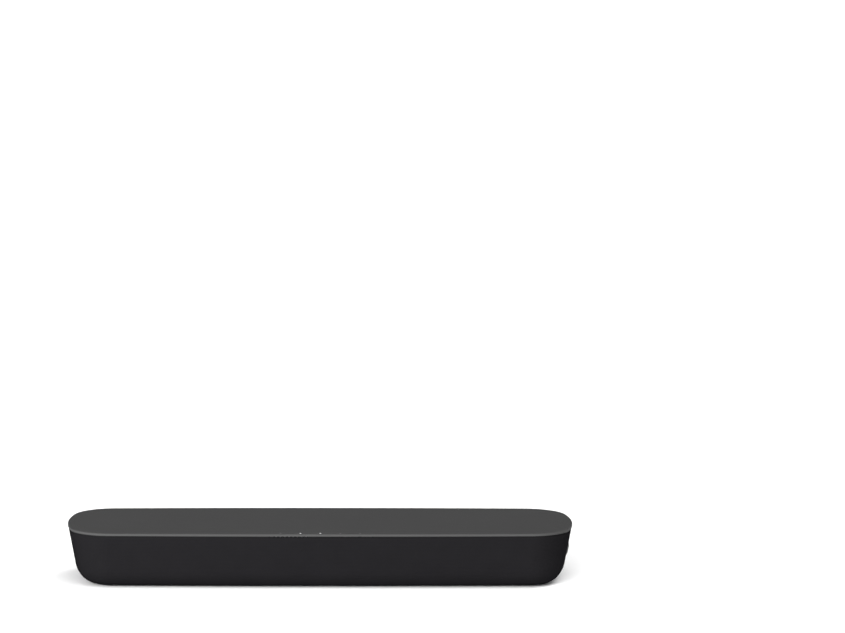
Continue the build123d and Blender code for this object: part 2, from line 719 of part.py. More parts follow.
def make_keys():
    bezel = (form(-bezel_proud) - form(case_skin + 1.2)) & end_prism(0, bezel_length, bezel_height)
    foot = (form(case_skin) - form(case_skin + 1.2)) & end_prism(0, 68, bezel_foot)
    bezel += foot
    board = (key_board_x, key_board_x + board_wall)
    for y in (-30, 30):
        bezel += rod((board[1], y, key_z), (1, 0, 0), 2.2, 8) & form(case_skin + 0.4)
        bezel -= rod((board[1] - 1, y, key_z), (1, 0, 0), small_shank + thread_gap, 4)
    for y in key_places():
        bezel -= end_prism(y, key_length + 2 * key_gap, key_height + 2 * key_gap)
    save("button_bezel", bezel)
    stem_end = board[1] + 2.6 + key_travel + 0.15
    names = ("power_button", "input_button", "volume_down_button", "volume_up_button")
    for name, y in zip(names, key_places()):
        key = (form(-key_proud) - form(case_skin + 2.2)) & end_prism(y, key_length, key_height)
        shoulder = end_prism(y, key_length + 1.4, key_height + 2)
        key += (form(case_skin + 1.35) - form(case_skin + 2.2)) & shoulder
        key += rod((stem_end, y, key_z), (1, 0, 0), 1.3, 6) & form(case_skin + 2.0)
        save(name, key)
    plate = block(board, (-33, 33), (key_z - 5, key_z + 5))
    for y in (-30, 30):
        plate -= rod((board[0] - 1, y, key_z), (1, 0, 0), small_shank + hole_gap, 5)
    save("button_board", plate)
    switches = []
    for y in key_places():
        switch = block((board[1], board[1] + 2), (y - 3, y + 3), (key_z - 3, key_z + 3))
        switches.append(switch + rod((board[1] + 2, y, key_z), (1, 0, 0), 1.5, 0.6))
    save("tact_switches", *switches)


def make_indicators():
    guides = []
    low = light_board_z + board_wall
    for x, y in light_places():
        guide = rod((x, y, seam_z - 1.0), (0, 0, 1), light_radius, height - 0.05 - seam_z + 1.0)
        guide += block((x - 1.2, x + 1.2), (y - 1.2, y + 4.4), (seam_z - 1.0, seam_z + 0.25))
        guide += block((x - 1.2, x + 1.2), (y + 2.2, y + 4.4), (low + 0.9, seam_z))
        guides.append(guide)
    save("lit_indicators", *guides[1:3])
    save("unlit_indicators", guides[0], *guides[3:])
    board = block((-48, 48), (light_boss_y - 5.1, light_boss_y + 3.5), (light_board_z, low))
    for x, y in indicator_bosses():
        board -= rod((x, y, light_board_z - 1), (0, 0, 1), small_shank + hole_gap, 5)
    save("indicator_board", board)
    lamps = [block((x - 0.8, x + 0.8), (y + 2.5, y + 4.1), (low, low + 0.7)) for x, y in light_places()]
    save("indicator_lamps", *lamps)
    eye = block((27, 33), (light_boss_y - 2.9, light_boss_y + 1), (light_board_z - 6, light_board_z))
    eye += Pos(30, light_boss_y - 2.8, light_board_z - 3) * Sphere(1.6)
    save("remote_receiver", eye)


# Internal leads

def lead(points):
    runs = [Vector(*b) - Vector(*a) for a, b in zip(points, points[1:])]
    radii = []
    for before, after in zip(runs, runs[1:]):
        turn = radians(before.get_angle(after))
        radii.append(min(30.0, 0.45 * min(before.length, after.length) / tan(turn / 2)))
    path = FilletPolyline(*points, radius=radii)
    start = Plane(origin=points[0], z_dir=runs[0])
    solid = sweep(start * Circle(lead_radius), path=path)
    ideal = 3.14159265 * lead_radius ** 2 * path.length
    print("lead radii", [round(radius, 1) for radius in radii])
    print("volume against section times length", round(solid.volume / ideal, 4))
    return solid


def make_leads():
    tab = -baffle_front + basket_depth + flange_wall
    rise = board_top + 3.0
    shared = [(62.0, -11.5, 23.0), (78.0, -5.5, 26.2), (93.0, -3.0, 28.0),
              (driver_offset - 23, -14.0, driver_z), (driver_offset - 23, tab, driver_z)]
    right = [(11.95, -14.0, rise), (28.0, -9.0, rise + 0.8), (46.0, -9.0, rise + 1.4)] + shared
    left = [(-53.45, -14.0, rise)] + [(-x, y, z) for x, y, z in shared]
    save("speaker_leads", lead(left), lead(right))


os.makedirs("parts", exist_ok=True)
make_top_panel()
make_grille()
make_bottom_case()
make_rear_cover()
make_ports()
for which, hand in (("left", -1), ("right", 1)):
    make_driver(which, hand)
    make_enclosure(which, hand)
make_gaskets()
make_driver_screws()
make_board("main_board", main_left, main_right)
make_board("power_board", power_left, power_right)
make_board_parts()
make_sockets()
make_keys()
make_indicators()
make_leads()
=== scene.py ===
import json
import math

import bmesh
import bpy
from mathutils import Quaternion, Vector, geometry, kdtree
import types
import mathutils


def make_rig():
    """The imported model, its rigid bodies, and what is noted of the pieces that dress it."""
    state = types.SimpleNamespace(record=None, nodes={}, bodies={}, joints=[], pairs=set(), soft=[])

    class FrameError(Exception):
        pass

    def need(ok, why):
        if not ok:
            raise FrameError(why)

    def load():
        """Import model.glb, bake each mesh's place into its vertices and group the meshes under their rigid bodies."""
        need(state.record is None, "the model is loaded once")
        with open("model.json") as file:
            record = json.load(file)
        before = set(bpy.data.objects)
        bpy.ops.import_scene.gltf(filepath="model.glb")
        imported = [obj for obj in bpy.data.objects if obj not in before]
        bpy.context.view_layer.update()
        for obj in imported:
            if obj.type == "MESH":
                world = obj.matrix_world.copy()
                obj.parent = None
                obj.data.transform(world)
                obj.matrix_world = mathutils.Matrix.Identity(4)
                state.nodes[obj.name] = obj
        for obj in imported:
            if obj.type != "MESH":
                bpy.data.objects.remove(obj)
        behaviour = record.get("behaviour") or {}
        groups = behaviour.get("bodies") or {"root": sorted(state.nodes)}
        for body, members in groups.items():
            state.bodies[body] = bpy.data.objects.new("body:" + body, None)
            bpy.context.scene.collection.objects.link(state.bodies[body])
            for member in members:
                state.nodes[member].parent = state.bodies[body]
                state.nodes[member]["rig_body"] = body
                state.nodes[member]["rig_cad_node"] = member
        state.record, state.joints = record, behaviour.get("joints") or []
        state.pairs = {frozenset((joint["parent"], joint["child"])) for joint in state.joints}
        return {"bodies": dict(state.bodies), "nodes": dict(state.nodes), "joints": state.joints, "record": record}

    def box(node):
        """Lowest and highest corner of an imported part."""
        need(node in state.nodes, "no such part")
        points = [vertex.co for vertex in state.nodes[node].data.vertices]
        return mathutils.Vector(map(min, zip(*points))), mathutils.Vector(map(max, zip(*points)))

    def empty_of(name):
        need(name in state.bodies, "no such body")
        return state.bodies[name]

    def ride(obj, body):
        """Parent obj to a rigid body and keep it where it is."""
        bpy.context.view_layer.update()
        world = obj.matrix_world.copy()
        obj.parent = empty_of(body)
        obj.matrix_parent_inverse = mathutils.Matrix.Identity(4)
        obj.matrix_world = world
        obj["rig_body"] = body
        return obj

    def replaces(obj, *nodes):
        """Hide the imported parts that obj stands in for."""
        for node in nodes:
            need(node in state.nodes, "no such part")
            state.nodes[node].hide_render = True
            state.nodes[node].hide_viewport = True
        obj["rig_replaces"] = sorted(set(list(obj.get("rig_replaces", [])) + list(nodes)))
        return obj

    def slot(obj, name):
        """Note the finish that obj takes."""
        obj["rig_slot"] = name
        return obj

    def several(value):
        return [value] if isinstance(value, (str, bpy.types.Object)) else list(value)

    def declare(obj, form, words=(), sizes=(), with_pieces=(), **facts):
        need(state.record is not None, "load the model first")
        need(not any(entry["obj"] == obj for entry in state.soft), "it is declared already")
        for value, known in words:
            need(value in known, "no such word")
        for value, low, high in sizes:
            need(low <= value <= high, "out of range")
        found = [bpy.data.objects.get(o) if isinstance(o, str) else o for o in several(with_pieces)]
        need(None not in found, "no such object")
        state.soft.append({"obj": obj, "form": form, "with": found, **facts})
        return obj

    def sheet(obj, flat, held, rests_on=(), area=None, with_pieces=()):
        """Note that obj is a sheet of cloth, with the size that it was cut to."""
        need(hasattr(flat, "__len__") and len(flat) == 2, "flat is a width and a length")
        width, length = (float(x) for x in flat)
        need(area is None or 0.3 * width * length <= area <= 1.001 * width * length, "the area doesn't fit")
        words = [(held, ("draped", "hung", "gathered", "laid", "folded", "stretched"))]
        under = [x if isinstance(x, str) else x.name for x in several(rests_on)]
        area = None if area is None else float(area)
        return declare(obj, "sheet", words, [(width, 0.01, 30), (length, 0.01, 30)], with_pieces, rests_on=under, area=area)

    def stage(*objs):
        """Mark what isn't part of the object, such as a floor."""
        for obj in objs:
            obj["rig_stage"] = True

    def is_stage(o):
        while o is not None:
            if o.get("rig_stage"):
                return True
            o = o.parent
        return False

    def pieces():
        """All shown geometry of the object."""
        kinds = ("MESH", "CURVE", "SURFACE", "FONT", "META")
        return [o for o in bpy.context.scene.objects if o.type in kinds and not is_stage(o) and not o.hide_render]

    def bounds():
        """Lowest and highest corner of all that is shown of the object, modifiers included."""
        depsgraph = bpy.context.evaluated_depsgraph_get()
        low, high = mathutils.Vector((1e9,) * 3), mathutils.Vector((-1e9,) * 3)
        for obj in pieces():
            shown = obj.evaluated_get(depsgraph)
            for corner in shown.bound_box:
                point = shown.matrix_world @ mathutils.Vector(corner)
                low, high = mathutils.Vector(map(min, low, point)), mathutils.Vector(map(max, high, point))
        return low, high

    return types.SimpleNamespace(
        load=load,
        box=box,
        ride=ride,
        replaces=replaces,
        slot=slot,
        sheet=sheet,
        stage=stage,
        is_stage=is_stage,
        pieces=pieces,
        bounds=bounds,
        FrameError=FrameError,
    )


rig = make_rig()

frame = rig.load()
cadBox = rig.bounds()
print("frame loaded")

nodes = frame["nodes"]
mm = 0.001


# Shader sums

class Wire:
    # wraps a shader socket, so that plain sums on it add Math nodes
    def __init__(self, tree, socket):
        self.tree = tree
        self.socket = socket

    def math(self, operation, *values):
        return addNode(self.tree, "ShaderNodeMath", {"operation": operation}, dict(enumerate(values)))

    def __add__(self, other):
        return self.math("ADD", self, other)

    def __sub__(self, other):
        return self.math("SUBTRACT", self, other)

    def __rsub__(self, other):
        return self.math("SUBTRACT", other, self)

    def __mul__(self, other):
        return self.math("MULTIPLY", self, other)

    __radd__ = __add__
    __rmul__ = __mul__


def addNode(tree, kind, settings=None, values=None, output=0):
    made = tree.nodes.new(kind)
    for name, value in (settings or {}).items():
        if name == "stops":
            ramp = made.color_ramp
            while len(ramp.elements) < len(value):
                ramp.elements.new(0.5)
            for element, (place, colour) in zip(ramp.elements, value):
                element.position = place
                element.color = colour
        else:
            setattr(made, name, value)
    for name, value in (values or {}).items():
        if isinstance(value, Wire):
            tree.links.new(value.socket, made.inputs[name])
        else:
            made.inputs[name].default_value = value
    return Wire(tree, made.outputs[output]) if made.outputs else made


def newMaterial(name):
    material = bpy.data.materials.new(name)
    material.use_nodes = True
    tree = material.node_tree
    tree.nodes.clear()
    return material, tree


def finishMaterial(tree, values):
    shader = addNode(tree, "ShaderNodeBsdfPrincipled", {}, values)
    addNode(tree, "ShaderNodeOutputMaterial", {}, {"Surface": shader})


def tone(colour, level=1.0):
    return (colour[0] * level, colour[1] * level, colour[2] * level, 1.0)


def objectPlace(tree):
    return addNode(tree, "ShaderNodeTexCoord", {}, {}, output=3)


def stretched(tree, scale):
    return addNode(tree, "ShaderNodeMapping", {}, {"Vector": objectPlace(tree), "Scale": scale})


def noiseAt(tree, place, size, detail=2.0, roughness=0.5):
    values = {"Vector": place, "Scale": 1 / size, "Detail": detail, "Roughness": roughness}
    return addNode(tree, "ShaderNodeTexNoise", {}, values)


def mixColour(tree, factor, first, second):
    return addNode(tree, "ShaderNodeMix", {"data_type": "RGBA"}, {0: factor, 6: first, 7: second}, output=2)


def bumpFrom(tree, level, distance, strength=1.0):
    return addNode(tree, "ShaderNodeBump", {}, {"Strength": strength, "Distance": distance, "Height": level})


def axisOf(tree, place, index):
    return addNode(tree, "ShaderNodeSeparateXYZ", {}, {0: place}, output=index)


def waveOf(phase):
    return phase.math("SINE", phase)


def sharpened(tree, level, low, high):
    # spreads the values between low and high over the whole range from 0 to 1
    return addNode(tree, "ShaderNodeMapRange", {"clamp": True}, {0: level, 1: low, 2: high, 3: 0.0, 4: 1.0})


# Finishes

def normalRise(tree):
    # how far a face looks up, from -1 to 1
    facing = addNode(tree, "ShaderNodeNewGeometry", {}, {}, output="Normal")
    return axisOf(tree, facing, 2)


def mouldedPlastic(name, colour, roughness=0.5, specular=0.35, grain=0.5 * mm, depth=0.02 * mm, uneven=0.12,
                   flankHighlight=1.0):
    # spark-eroded texture of a moulded shell, with a faint cloudiness; upright faces can be painted paler, a painted
    # highlight on their flanks
    material, tree = newMaterial(name)
    place = objectPlace(tree)
    fine = noiseAt(tree, place, grain, 3.0, 0.6)
    cloud = noiseAt(tree, place, 33 * mm, 3.0)
    mask = cloud * 0.6 + fine * 0.4
    paint = mixColour(tree, mask, tone(colour, 1 - uneven), tone(colour, 1 + uneven))
    # painted highlight: faces that stand upright get a paler base colour, standing in for the light that falls on them
    if flankHighlight != 1.0:
        rise = normalRise(tree)
        flankHighlightMask = sharpened(tree, 1.0 - rise.math("ABSOLUTE", rise), 0.35, 0.85)
        paint = mixColour(tree, flankHighlightMask, paint, tone(colour, flankHighlight))
    finishMaterial(tree, {
        "Base Color": paint,
        "Roughness": cloud * 0.1 + (roughness - 0.05) + (fine - 0.5) * 0.12,
        "Specular IOR Level": specular,
        "Normal": bumpFrom(tree, fine, depth),
    })
    return material


knit = {
    "pitch": 0.72 * mm,
    "slant": 0.58,
    "depth": 0.07 * mm,
    "colour": (0.0100, 0.0096, 0.0106),
    "contrast": 0.42,
    "drift": 1.4,
    "roughness": 0.75,
    "specular": 0.0,
}


def knitCloth(name):
    # fine acoustic knit: slanting yarns that cross in rows, each a little uneven
    material, tree = newMaterial(name)
    uv = addNode(tree, "ShaderNodeUVMap", {"uv_map": "cloth"}, {})
    uneven = noiseAt(tree, objectPlace(tree), 1.1 * mm, 2.0)
    along, across = axisOf(tree, uv, 0), axisOf(tree, uv, 1)
    turns = 2 * math.pi / knit["pitch"]
    rising = (along + across * knit["slant"]) * turns + uneven * knit["drift"]
    falling = (along - across * knit["slant"]) * turns + uneven * knit["drift"]
    rows = across * (turns * knit["slant"])
    yarn = (waveOf(rising) * waveOf(falling)) * 0.35 + waveOf(rows) * 0.15 + 0.5
    cloud = noiseAt(tree, objectPlace(tree), 17 * mm, 4.0)
    mask = yarn * 0.7 + cloud * 0.2 + uneven * 0.1
    colour, contrast = knit["colour"], knit["contrast"]
    finishMaterial(tree, {
        "Base Color": mixColour(tree, mask, tone(colour, 1 - contrast), tone(colour, 1 + contrast)),
        "Roughness": yarn * -0.1 + (knit["roughness"] + 0.05),
        "Specular IOR Level": knit["specular"],
        "Normal": bumpFrom(tree, yarn + uneven * 0.25, knit["depth"]),
    })
    return material


def glowing(name, level):
    # only the tip of the guide shines
    material, tree = newMaterial(name)
    cloud = noiseAt(tree, objectPlace(tree), 1.4 * mm)
    glow = mixColour(tree, cloud, (0.92, 0.96, 1.0, 1), (1, 1, 1, 1))
    tip = sharpened(tree, normalRise(tree), 0.3, 0.7)
    finishMaterial(tree, {
        "Base Color": mixColour(tree, cloud, tone((0.70, 0.70, 0.70)), tone((0.85, 0.85, 0.85))),
        "Roughness": cloud * 0.1 + 0.2,
        "Emission Color": mixColour(tree, tip, (0, 0, 0, 1), glow),
        "Emission Strength": level,
    })
    return material


def worn(tree, colour, low, high, size):
    cloud = noiseAt(tree, objectPlace(tree), size, 3.0)
    return mixColour(tree, cloud, tone(colour, low), tone(colour, high))


def metal(name, colour, roughness, lines=(1, 1, 14), lineSize=2.0 * mm, depth=0.004 * mm):
    # turned, rolled or drawn metal with fine tool lines across one axis
    material, tree = newMaterial(name)
    scratch = noiseAt(tree, stretched(tree, lines), lineSize, 4.0, 0.6)
    cloud = noiseAt(tree, objectPlace(tree), 9 * mm, 3.0)
    finishMaterial(tree, {
        "Base Color": worn(tree, colour, 0.82, 1.12, 6 * mm),
        "Metallic": 1.0,
        "Roughness": scratch * 0.18 + cloud * 0.12 + (roughness - 0.15),
        "Normal": bumpFrom(tree, scratch, depth),
    })
    return material


def rubber(name, colour):
    material, tree = newMaterial(name)
    fine = noiseAt(tree, objectPlace(tree), 0.25 * mm, 3.0, 0.7)
    dust = sharpened(tree, noiseAt(tree, objectPlace(tree), 4 * mm, 4.0), 0.5, 0.8)
    finishMaterial(tree, {
        "Base Color": mixColour(tree, dust * 0.35, tone(colour), tone(colour, 3.0)),
        "Roughness": fine * 0.1 + 0.72,
        "Specular IOR Level": 0.25,
        "Normal": bumpFrom(tree, fine, 0.02 * mm),
    })
    return material


def pulpPaper(name, colour):
    # pressed fibres, a little lighter where they lie flat
    material, tree = newMaterial(name)
    fibre = noiseAt(tree, stretched(tree, (1, 4, 1)), 0.9 * mm, 5.0, 0.7)
    other = noiseAt(tree, stretched(tree, (4, 1, 3)), 0.9 * mm, 5.0, 0.7)
    felt = fibre * 0.5 + other * 0.5
    finishMaterial(tree, {
        "Base Color": mixColour(tree, felt, tone(colour, 0.5), tone(colour, 1.7)),
        "Roughness": felt * 0.2 + 0.7,
        "Specular IOR Level": 0.2,
        "Normal": bumpFrom(tree, felt, 0.08 * mm),
    })
    return material


def wovenCloth(name, colour, pitch=0.8 * mm):
    # plain weave, dipped in resin
    material, tree = newMaterial(name)
    place = objectPlace(tree)
    waves = [waveOf(axisOf(tree, place, index) * (2 * math.pi / pitch)) for index in (0, 2)]
    weave = waves[0] * waves[1] * 0.5 + 0.5
    finishMaterial(tree, {
        "Base Color": mixColour(tree, weave, tone(colour, 0.6), tone(colour, 1.3)),
        "Roughness": weave * -0.2 + 0.75,
        "Normal": bumpFrom(tree, weave, 0.08 * mm),
    })
    return material


def winding(name, colour, pitch=0.35 * mm):
    # close turns of enamelled wire round the driver's axis
    material, tree = newMaterial(name)
    turns = waveOf(axisOf(tree, objectPlace(tree), 1) * (2 * math.pi / pitch)) * 0.5 + 0.5
    finishMaterial(tree, {
        "Base Color": mixColour(tree, turns, tone(colour, 0.35), tone(colour, 1.1)),
        "Metallic": 0.9,
        "Roughness": turns * -0.15 + 0.45,
        "Coat Weight": turns * 0.6,
        "Normal": bumpFrom(tree, turns, 0.06 * mm),
    })
    return material


def circuitBoard(name, colour):
    # solder mask over copper tracks, with bare tinned pads
    material, tree = newMaterial(name)
    place = objectPlace(tree)
    flat = stretched(tree, (1, 1, 0.001))
    values = {"Vector": flat, "Scale": 260.0, "Mortar Size": 0.012, "Mortar Smooth": 0.1}
    tracks = addNode(tree, "ShaderNodeTexBrick", {"offset": 0.37, "squash": 1.6}, values, output=1)
    cells = addNode(tree, "ShaderNodeTexVoronoi", {"feature": "F1"}, {"Vector": place, "Scale": 330.0})
    pads = 1.0 - sharpened(tree, cells, 0.16, 0.2)
    mask = mixColour(tree, tracks, tone(colour), tone(colour, 0.55))
    finishMaterial(tree, {
        "Base Color": mixColour(tree, pads, mask, tone((0.62, 0.62, 0.58))),
        "Metallic": pads,
        "Roughness": pads * 0.1 + 0.28,
        "Normal": bumpFrom(tree, pads * 0.6 - tracks * 0.4, 0.03 * mm),
    })
    return material


# The casing's form: a bowed plan with round corners, sides that lean in, a round towards the underside

casing = {
    "sideRadius": 6.8,
    "endRadius": 0.16,
    "cornerRadius": 0.038,
    "planStep": 3.0 * mm,
    "cornerStep": 1.2 * mm,
    "draft": math.radians(10.6),
    "edgeRadius": 18 * mm,
    "reveal": 0.4 * mm,
    "lidEdge": 2.6 * mm,
    "rearHalf": 150 * mm,
    "caseSkin": 2.8 * mm,
    "caseWall": 2.2 * mm,
    "trayTop": 12 * mm,
    "postRadius": 4 * mm,
    "postGap": 1.1 * mm,
    "postX": 62.5 * mm,
    "endPostY": -10 * mm,
    "cornerPost": (11.5 * mm, 2.5 * mm),
    "postCap": 6 * mm,
    "footX": 75 * mm,
    "footY": 38.5 * mm,
    "featureZ": 28 * mm,
}
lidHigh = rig.box("top_panel")[1]
halfLength, halfDepth, lidTop = lidHigh.x, lidHigh.y, lidHigh.z
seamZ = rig.box("grille_cloth")[1].z
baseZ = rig.box("bottom_case")[0].z
sideRun = (seamZ - baseZ) * math.tan(casing["draft"])
flatInset = casing["reveal"] + sideRun + casing["edgeRadius"] * math.tan((math.pi / 2 - casing["draft"]) / 2)
floorInset = flatInset + 0.3 * mm


def planArcs():
    # the outline's arcs, anticlockwise from the middle of the back: centre, radius, first and last angle
    side, end, corner = casing["sideRadius"], casing["endRadius"], casing["cornerRadius"]
    sideMid = Vector((0, halfDepth - side))
    endMid = Vector((halfLength - end, 0))
    far, near = side - corner, end - corner
    gap = (endMid - sideMid).length
    along = (far ** 2 - near ** 2 + gap ** 2) / (2 * gap)
    across = math.sqrt(far ** 2 - along ** 2)
    line = (endMid - sideMid) / gap
    mid = sideMid + line * along + Vector((line.y, -line.x)) * across
    slow = math.atan2(mid.x, mid.y - sideMid.y)
    bow = math.atan2(mid.y, mid.x - endMid.x)
    quarter = math.pi / 2
    return [
        (Vector((0, sideMid.y)), side, quarter, quarter + slow),
        (Vector((-mid.x, mid.y)), corner, quarter + slow, 2 * quarter - bow),
        (Vector((-endMid.x, 0)), end, 2 * quarter - bow, 2 * quarter + bow),
        (Vector((-mid.x, -mid.y)), corner, 2 * quarter + bow, 3 * quarter - slow),
        (Vector((0, -sideMid.y)), side, 3 * quarter - slow, 3 * quarter + slow),
        (Vector((mid.x, -mid.y)), corner, 3 * quarter + slow, 4 * quarter - bow),
        (Vector((endMid.x, 0)), end, 4 * quarter - bow, 4 * quarter + bow),
        (Vector((mid.x, mid.y)), corner, 4 * quarter + bow, 5 * quarter - slow),
        (Vector((0, sideMid.y)), side, 5 * quarter - slow, 5 * quarter),
    ]


def outline():
    # points round the plan: place, outward normal and distance along the outline
    points, run = [], 0.0
    for centre, radius, first, last in planArcs():
        length = radius * (last - first)
        step = casing["cornerStep"] if radius == casing["cornerRadius"] else casing["planStep"]
        count = max(2, round(length / step))
        for index in range(count):
            angle = first + (last - first) * index / count
            normal = Vector((math.cos(angle), math.sin(angle)))
            points.append((centre + normal * radius, normal, run + length * index / count))
        run += length
    return points


def planLoop():
    # the plan, as a loop that can be grown
    ring = outline()

    def grown(offset):
        return [(point.x + normal.x * offset, point.y + normal.y * offset) for point, normal, run in ring]

    return grown


def between(start, end, part):
    return (start[0] + (end[0] - start[0]) * part, start[1] + (end[1] - start[1]) * part)


def roundBox(midU, midV, halfU, halfV, corner, step=3.0 * mm, turns=6):
    # a rectangle with round corners, as a loop that can be grown; a slot or a circle when corner is large
    corners = [(midU + su * (halfU - corner), midV + sv * (halfV - corner))
               for su, sv in ((1, 1), (-1, 1), (-1, -1), (1, -1))]

    def grown(offset):
        points = []
        radius = corner + offset
        for index, (u, v) in enumerate(corners):
            run = 2 * ((halfV if index % 2 else halfU) - corner)
            straight = run > 0.001 * mm
            for turn in range(turns + 1 if straight else turns):
                angle = math.pi / 2 * (index + turn / turns)
                points.append((u + radius * math.cos(angle), v + radius * math.sin(angle)))
            if straight:
                angle = math.pi / 2 * (index + 1)
                farU, farV = corners[(index + 1) % 4]
                end = (farU + radius * math.cos(angle), farV + radius * math.sin(angle))
                start, pieces = points[-1], max(1, round(run / step))
                for piece in range(1, pieces):
                    points.append(between(start, end, piece / pieces))
        return points

    return grown


def circleLoop(midU, midV, radius, turns=9):
    return roundBox(midU, midV, radius, radius, radius, turns=turns)


def formLength(skin):
    # length of the profile from the seam to the flat underside, for a surface skin deep
    inner = casing["edgeRadius"] - skin
    lineEnd = baseZ + casing["edgeRadius"] - inner * math.sin(casing["draft"])
    lineLength = (seamZ - lineEnd) / math.cos(casing["draft"])
    return lineLength, lineLength + inner * (math.pi / 2 - casing["draft"]), inner


def formAt(skin, part):
    # inset and height at a share of the profile's length
    lineLength, whole, inner = formLength(skin)
    run = part * whole
    if run <= lineLength:
        inset = casing["reveal"] + skin / math.cos(casing["draft"]) + run * math.sin(casing["draft"])
        return inset, seamZ - run * math.cos(casing["draft"])
    angle = casing["draft"] + (run - lineLength) / inner
    return flatInset - inner * math.cos(angle), baseZ + casing["edgeRadius"] - inner * math.sin(angle)


def partAt(skin, height):
    # the share of the profile's length at a height
    lineLength, whole, inner = formLength(skin)
    run = (seamZ - height) / math.cos(casing["draft"])
    if run > lineLength:
        low = min(1.0, (baseZ + casing["edgeRadius"] - height) / inner)
        run = lineLength + inner * (math.asin(low) - casing["draft"])
    return run / whole


def backPoint(x, inset, height):
    side = casing["sideRadius"]
    return Vector((x, halfDepth - side + math.sqrt((side - inset) ** 2 - x ** 2), height))


def endPoint(y, height, skin):
    # a point of the right end, skin deep inside the form
    end = casing["endRadius"]
    inset = casing["reveal"] + (seamZ - height) * math.tan(casing["draft"]) + skin / math.cos(casing["draft"])
    return Vector((halfLength - end + math.sqrt((end - inset) ** 2 - y ** 2), y, height))


# Meshes: rings of points joined by faces, and sheets with holes

def placed(name, data):
    made = bpy.data.objects.new(name, data)
    bpy.context.scene.collection.objects.link(made)
    return made


def newObject(name, mesh, body="cabinet"):
    made = placed(name, mesh)
    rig.ride(made, body)
    return made


def meshFrom(work, name):
    mesh = bpy.data.meshes.new(name)
    work.to_mesh(mesh)
    work.free()
    return mesh


def atHeight(height):
    return lambda u, v: Vector((u, v, height))


def quarterTurn(steps, first=0):
    # what is left to go, and what has been gained, at each step of a unit quarter round
    angles = [math.pi / 2 * step / steps for step in range(first, steps + 1)]
    return [(1 - math.sin(angle), 1 - math.cos(angle)) for angle in angles]


def addRings(work, rings):
    loops = [[work.verts.new(point) for point in ring] for ring in rings]
    count = len(loops[0])
    for near, far in zip(loops, loops[1:]):
        for step in range(count):
            beside = (step + 1) % count
            work.faces.new((near[step], near[beside], far[beside], far[step]))
    return loops


def addTurned(work, path, place, turns=32, capFirst=False, capLast=False):
    # rings about an axis: path holds (radius, distance along it), place turns (u, v, distance) into a point
    rings = []
    for radius, run in path:
        angles = [2 * math.pi * step / turns for step in range(turns)]
        rings.append([place(radius * math.cos(angle), radius * math.sin(angle), run) for angle in angles])
    loops = addRings(work, rings)
    if capFirst:
        work.faces.new(loops[0])
    if capLast:
        work.faces.new(loops[-1])


def holds(loop, u, v):
    # whether a flat point lies inside a loop
    inside = False
    last = loop[-1]
    for point in loop:
        if (point[1] > v) != (last[1] > v):
            if u < (last[0] - point[0]) * (v - point[1]) / (last[1] - point[1]) + point[0]:
                inside = not inside
        last = point
    return inside


def addSheet(work, rim, holes, spacing, toWorld):
    # fills the space between a rim and the holes in it with even triangles
    points, edges = [], []
    for loop in [rim] + holes:
        first = len(points)
        points += loop
        edges += [(first + step, first + (step + 1) % len(loop)) for step in range(len(loop))]
    tree = kdtree.KDTree(len(points))
    for index, point in enumerate(points):
        tree.insert((point[0], point[1], 0), index)
    tree.balance()
    boxes = [(min(p[0] for p in hole), max(p[0] for p in hole),
              min(p[1] for p in hole), max(p[1] for p in hole)) for hole in holes]

    def open(u, v):
        for hole, box in zip(holes, boxes):
            if box[0] < u < box[1] and box[2] < v < box[3] and holds(hole, u, v):
                return False
        return holds(rim, u, v)

    lowU, lowV = min(p[0] for p in rim), min(p[1] for p in rim)
    countU = int((max(p[0] for p in rim) - lowU) / spacing[0])
    countV = int((max(p[1] for p in rim) - lowV) / spacing[1])
    clear = 0.55 * min(spacing)
    # far corners keep the rim off the triangulation's own outline
    highU, highV = max(p[0] for p in rim), max(p[1] for p in rim)
    pad = 4 * max(spacing)
    points += [(u, v) for u in (lowU - pad, highU + pad) for v in (lowV - pad, highV + pad)]
    for row in range(1, countV + 1):
        for column in range(1, countU + 1):
            u, v = lowU + (column - 0.5 * (row % 2)) * spacing[0], lowV + row * spacing[1]
            if tree.find((u, v, 0))[2] > clear and open(u, v):
                points.append((u, v))
    corners, _, faces = geometry.delaunay_2d_cdt([Vector(point) for point in points], edges, [], 0, 1e-7)[:3]
    verts = [work.verts.new(toWorld(corner.x, corner.y)) for corner in corners]
    for face in faces:
        mid = sum((corners[index] for index in face), Vector((0, 0))) / len(face)
        if open(mid.x, mid.y):
            work.faces.new([verts[index] for index in face])


def lipPath(lip, deep, support=0.5 * mm, steps=4, side=1):
    # offsets and depths from a face over a rounded lip into a wall
    path = [(side * (lip + support), 0.0)]
    path += [(side * lip * left, lip * gained) for left, gained in quarterTurn(steps)]
    return path + [(0.0, deep)]


def finishMesh(work, name, angle=35, weighted=True, body="cabinet"):
    # joins what meets and shades it smooth below the angle
    bmesh.ops.remove_doubles(work, verts=work.verts, dist=0.002 * mm)
    lone = [vert for vert in work.verts if not vert.link_faces]
    bmesh.ops.delete(work, geom=lone, context="VERTS")
    bmesh.ops.recalc_face_normals(work, faces=work.faces)
    piece = newObject(name, meshFrom(work, name), body)
    makeSmooth(piece, angle)
    if weighted:
        shade = piece.modifiers.new("evenShading", "WEIGHTED_NORMAL")
        shade.keep_sharp = True
    return piece


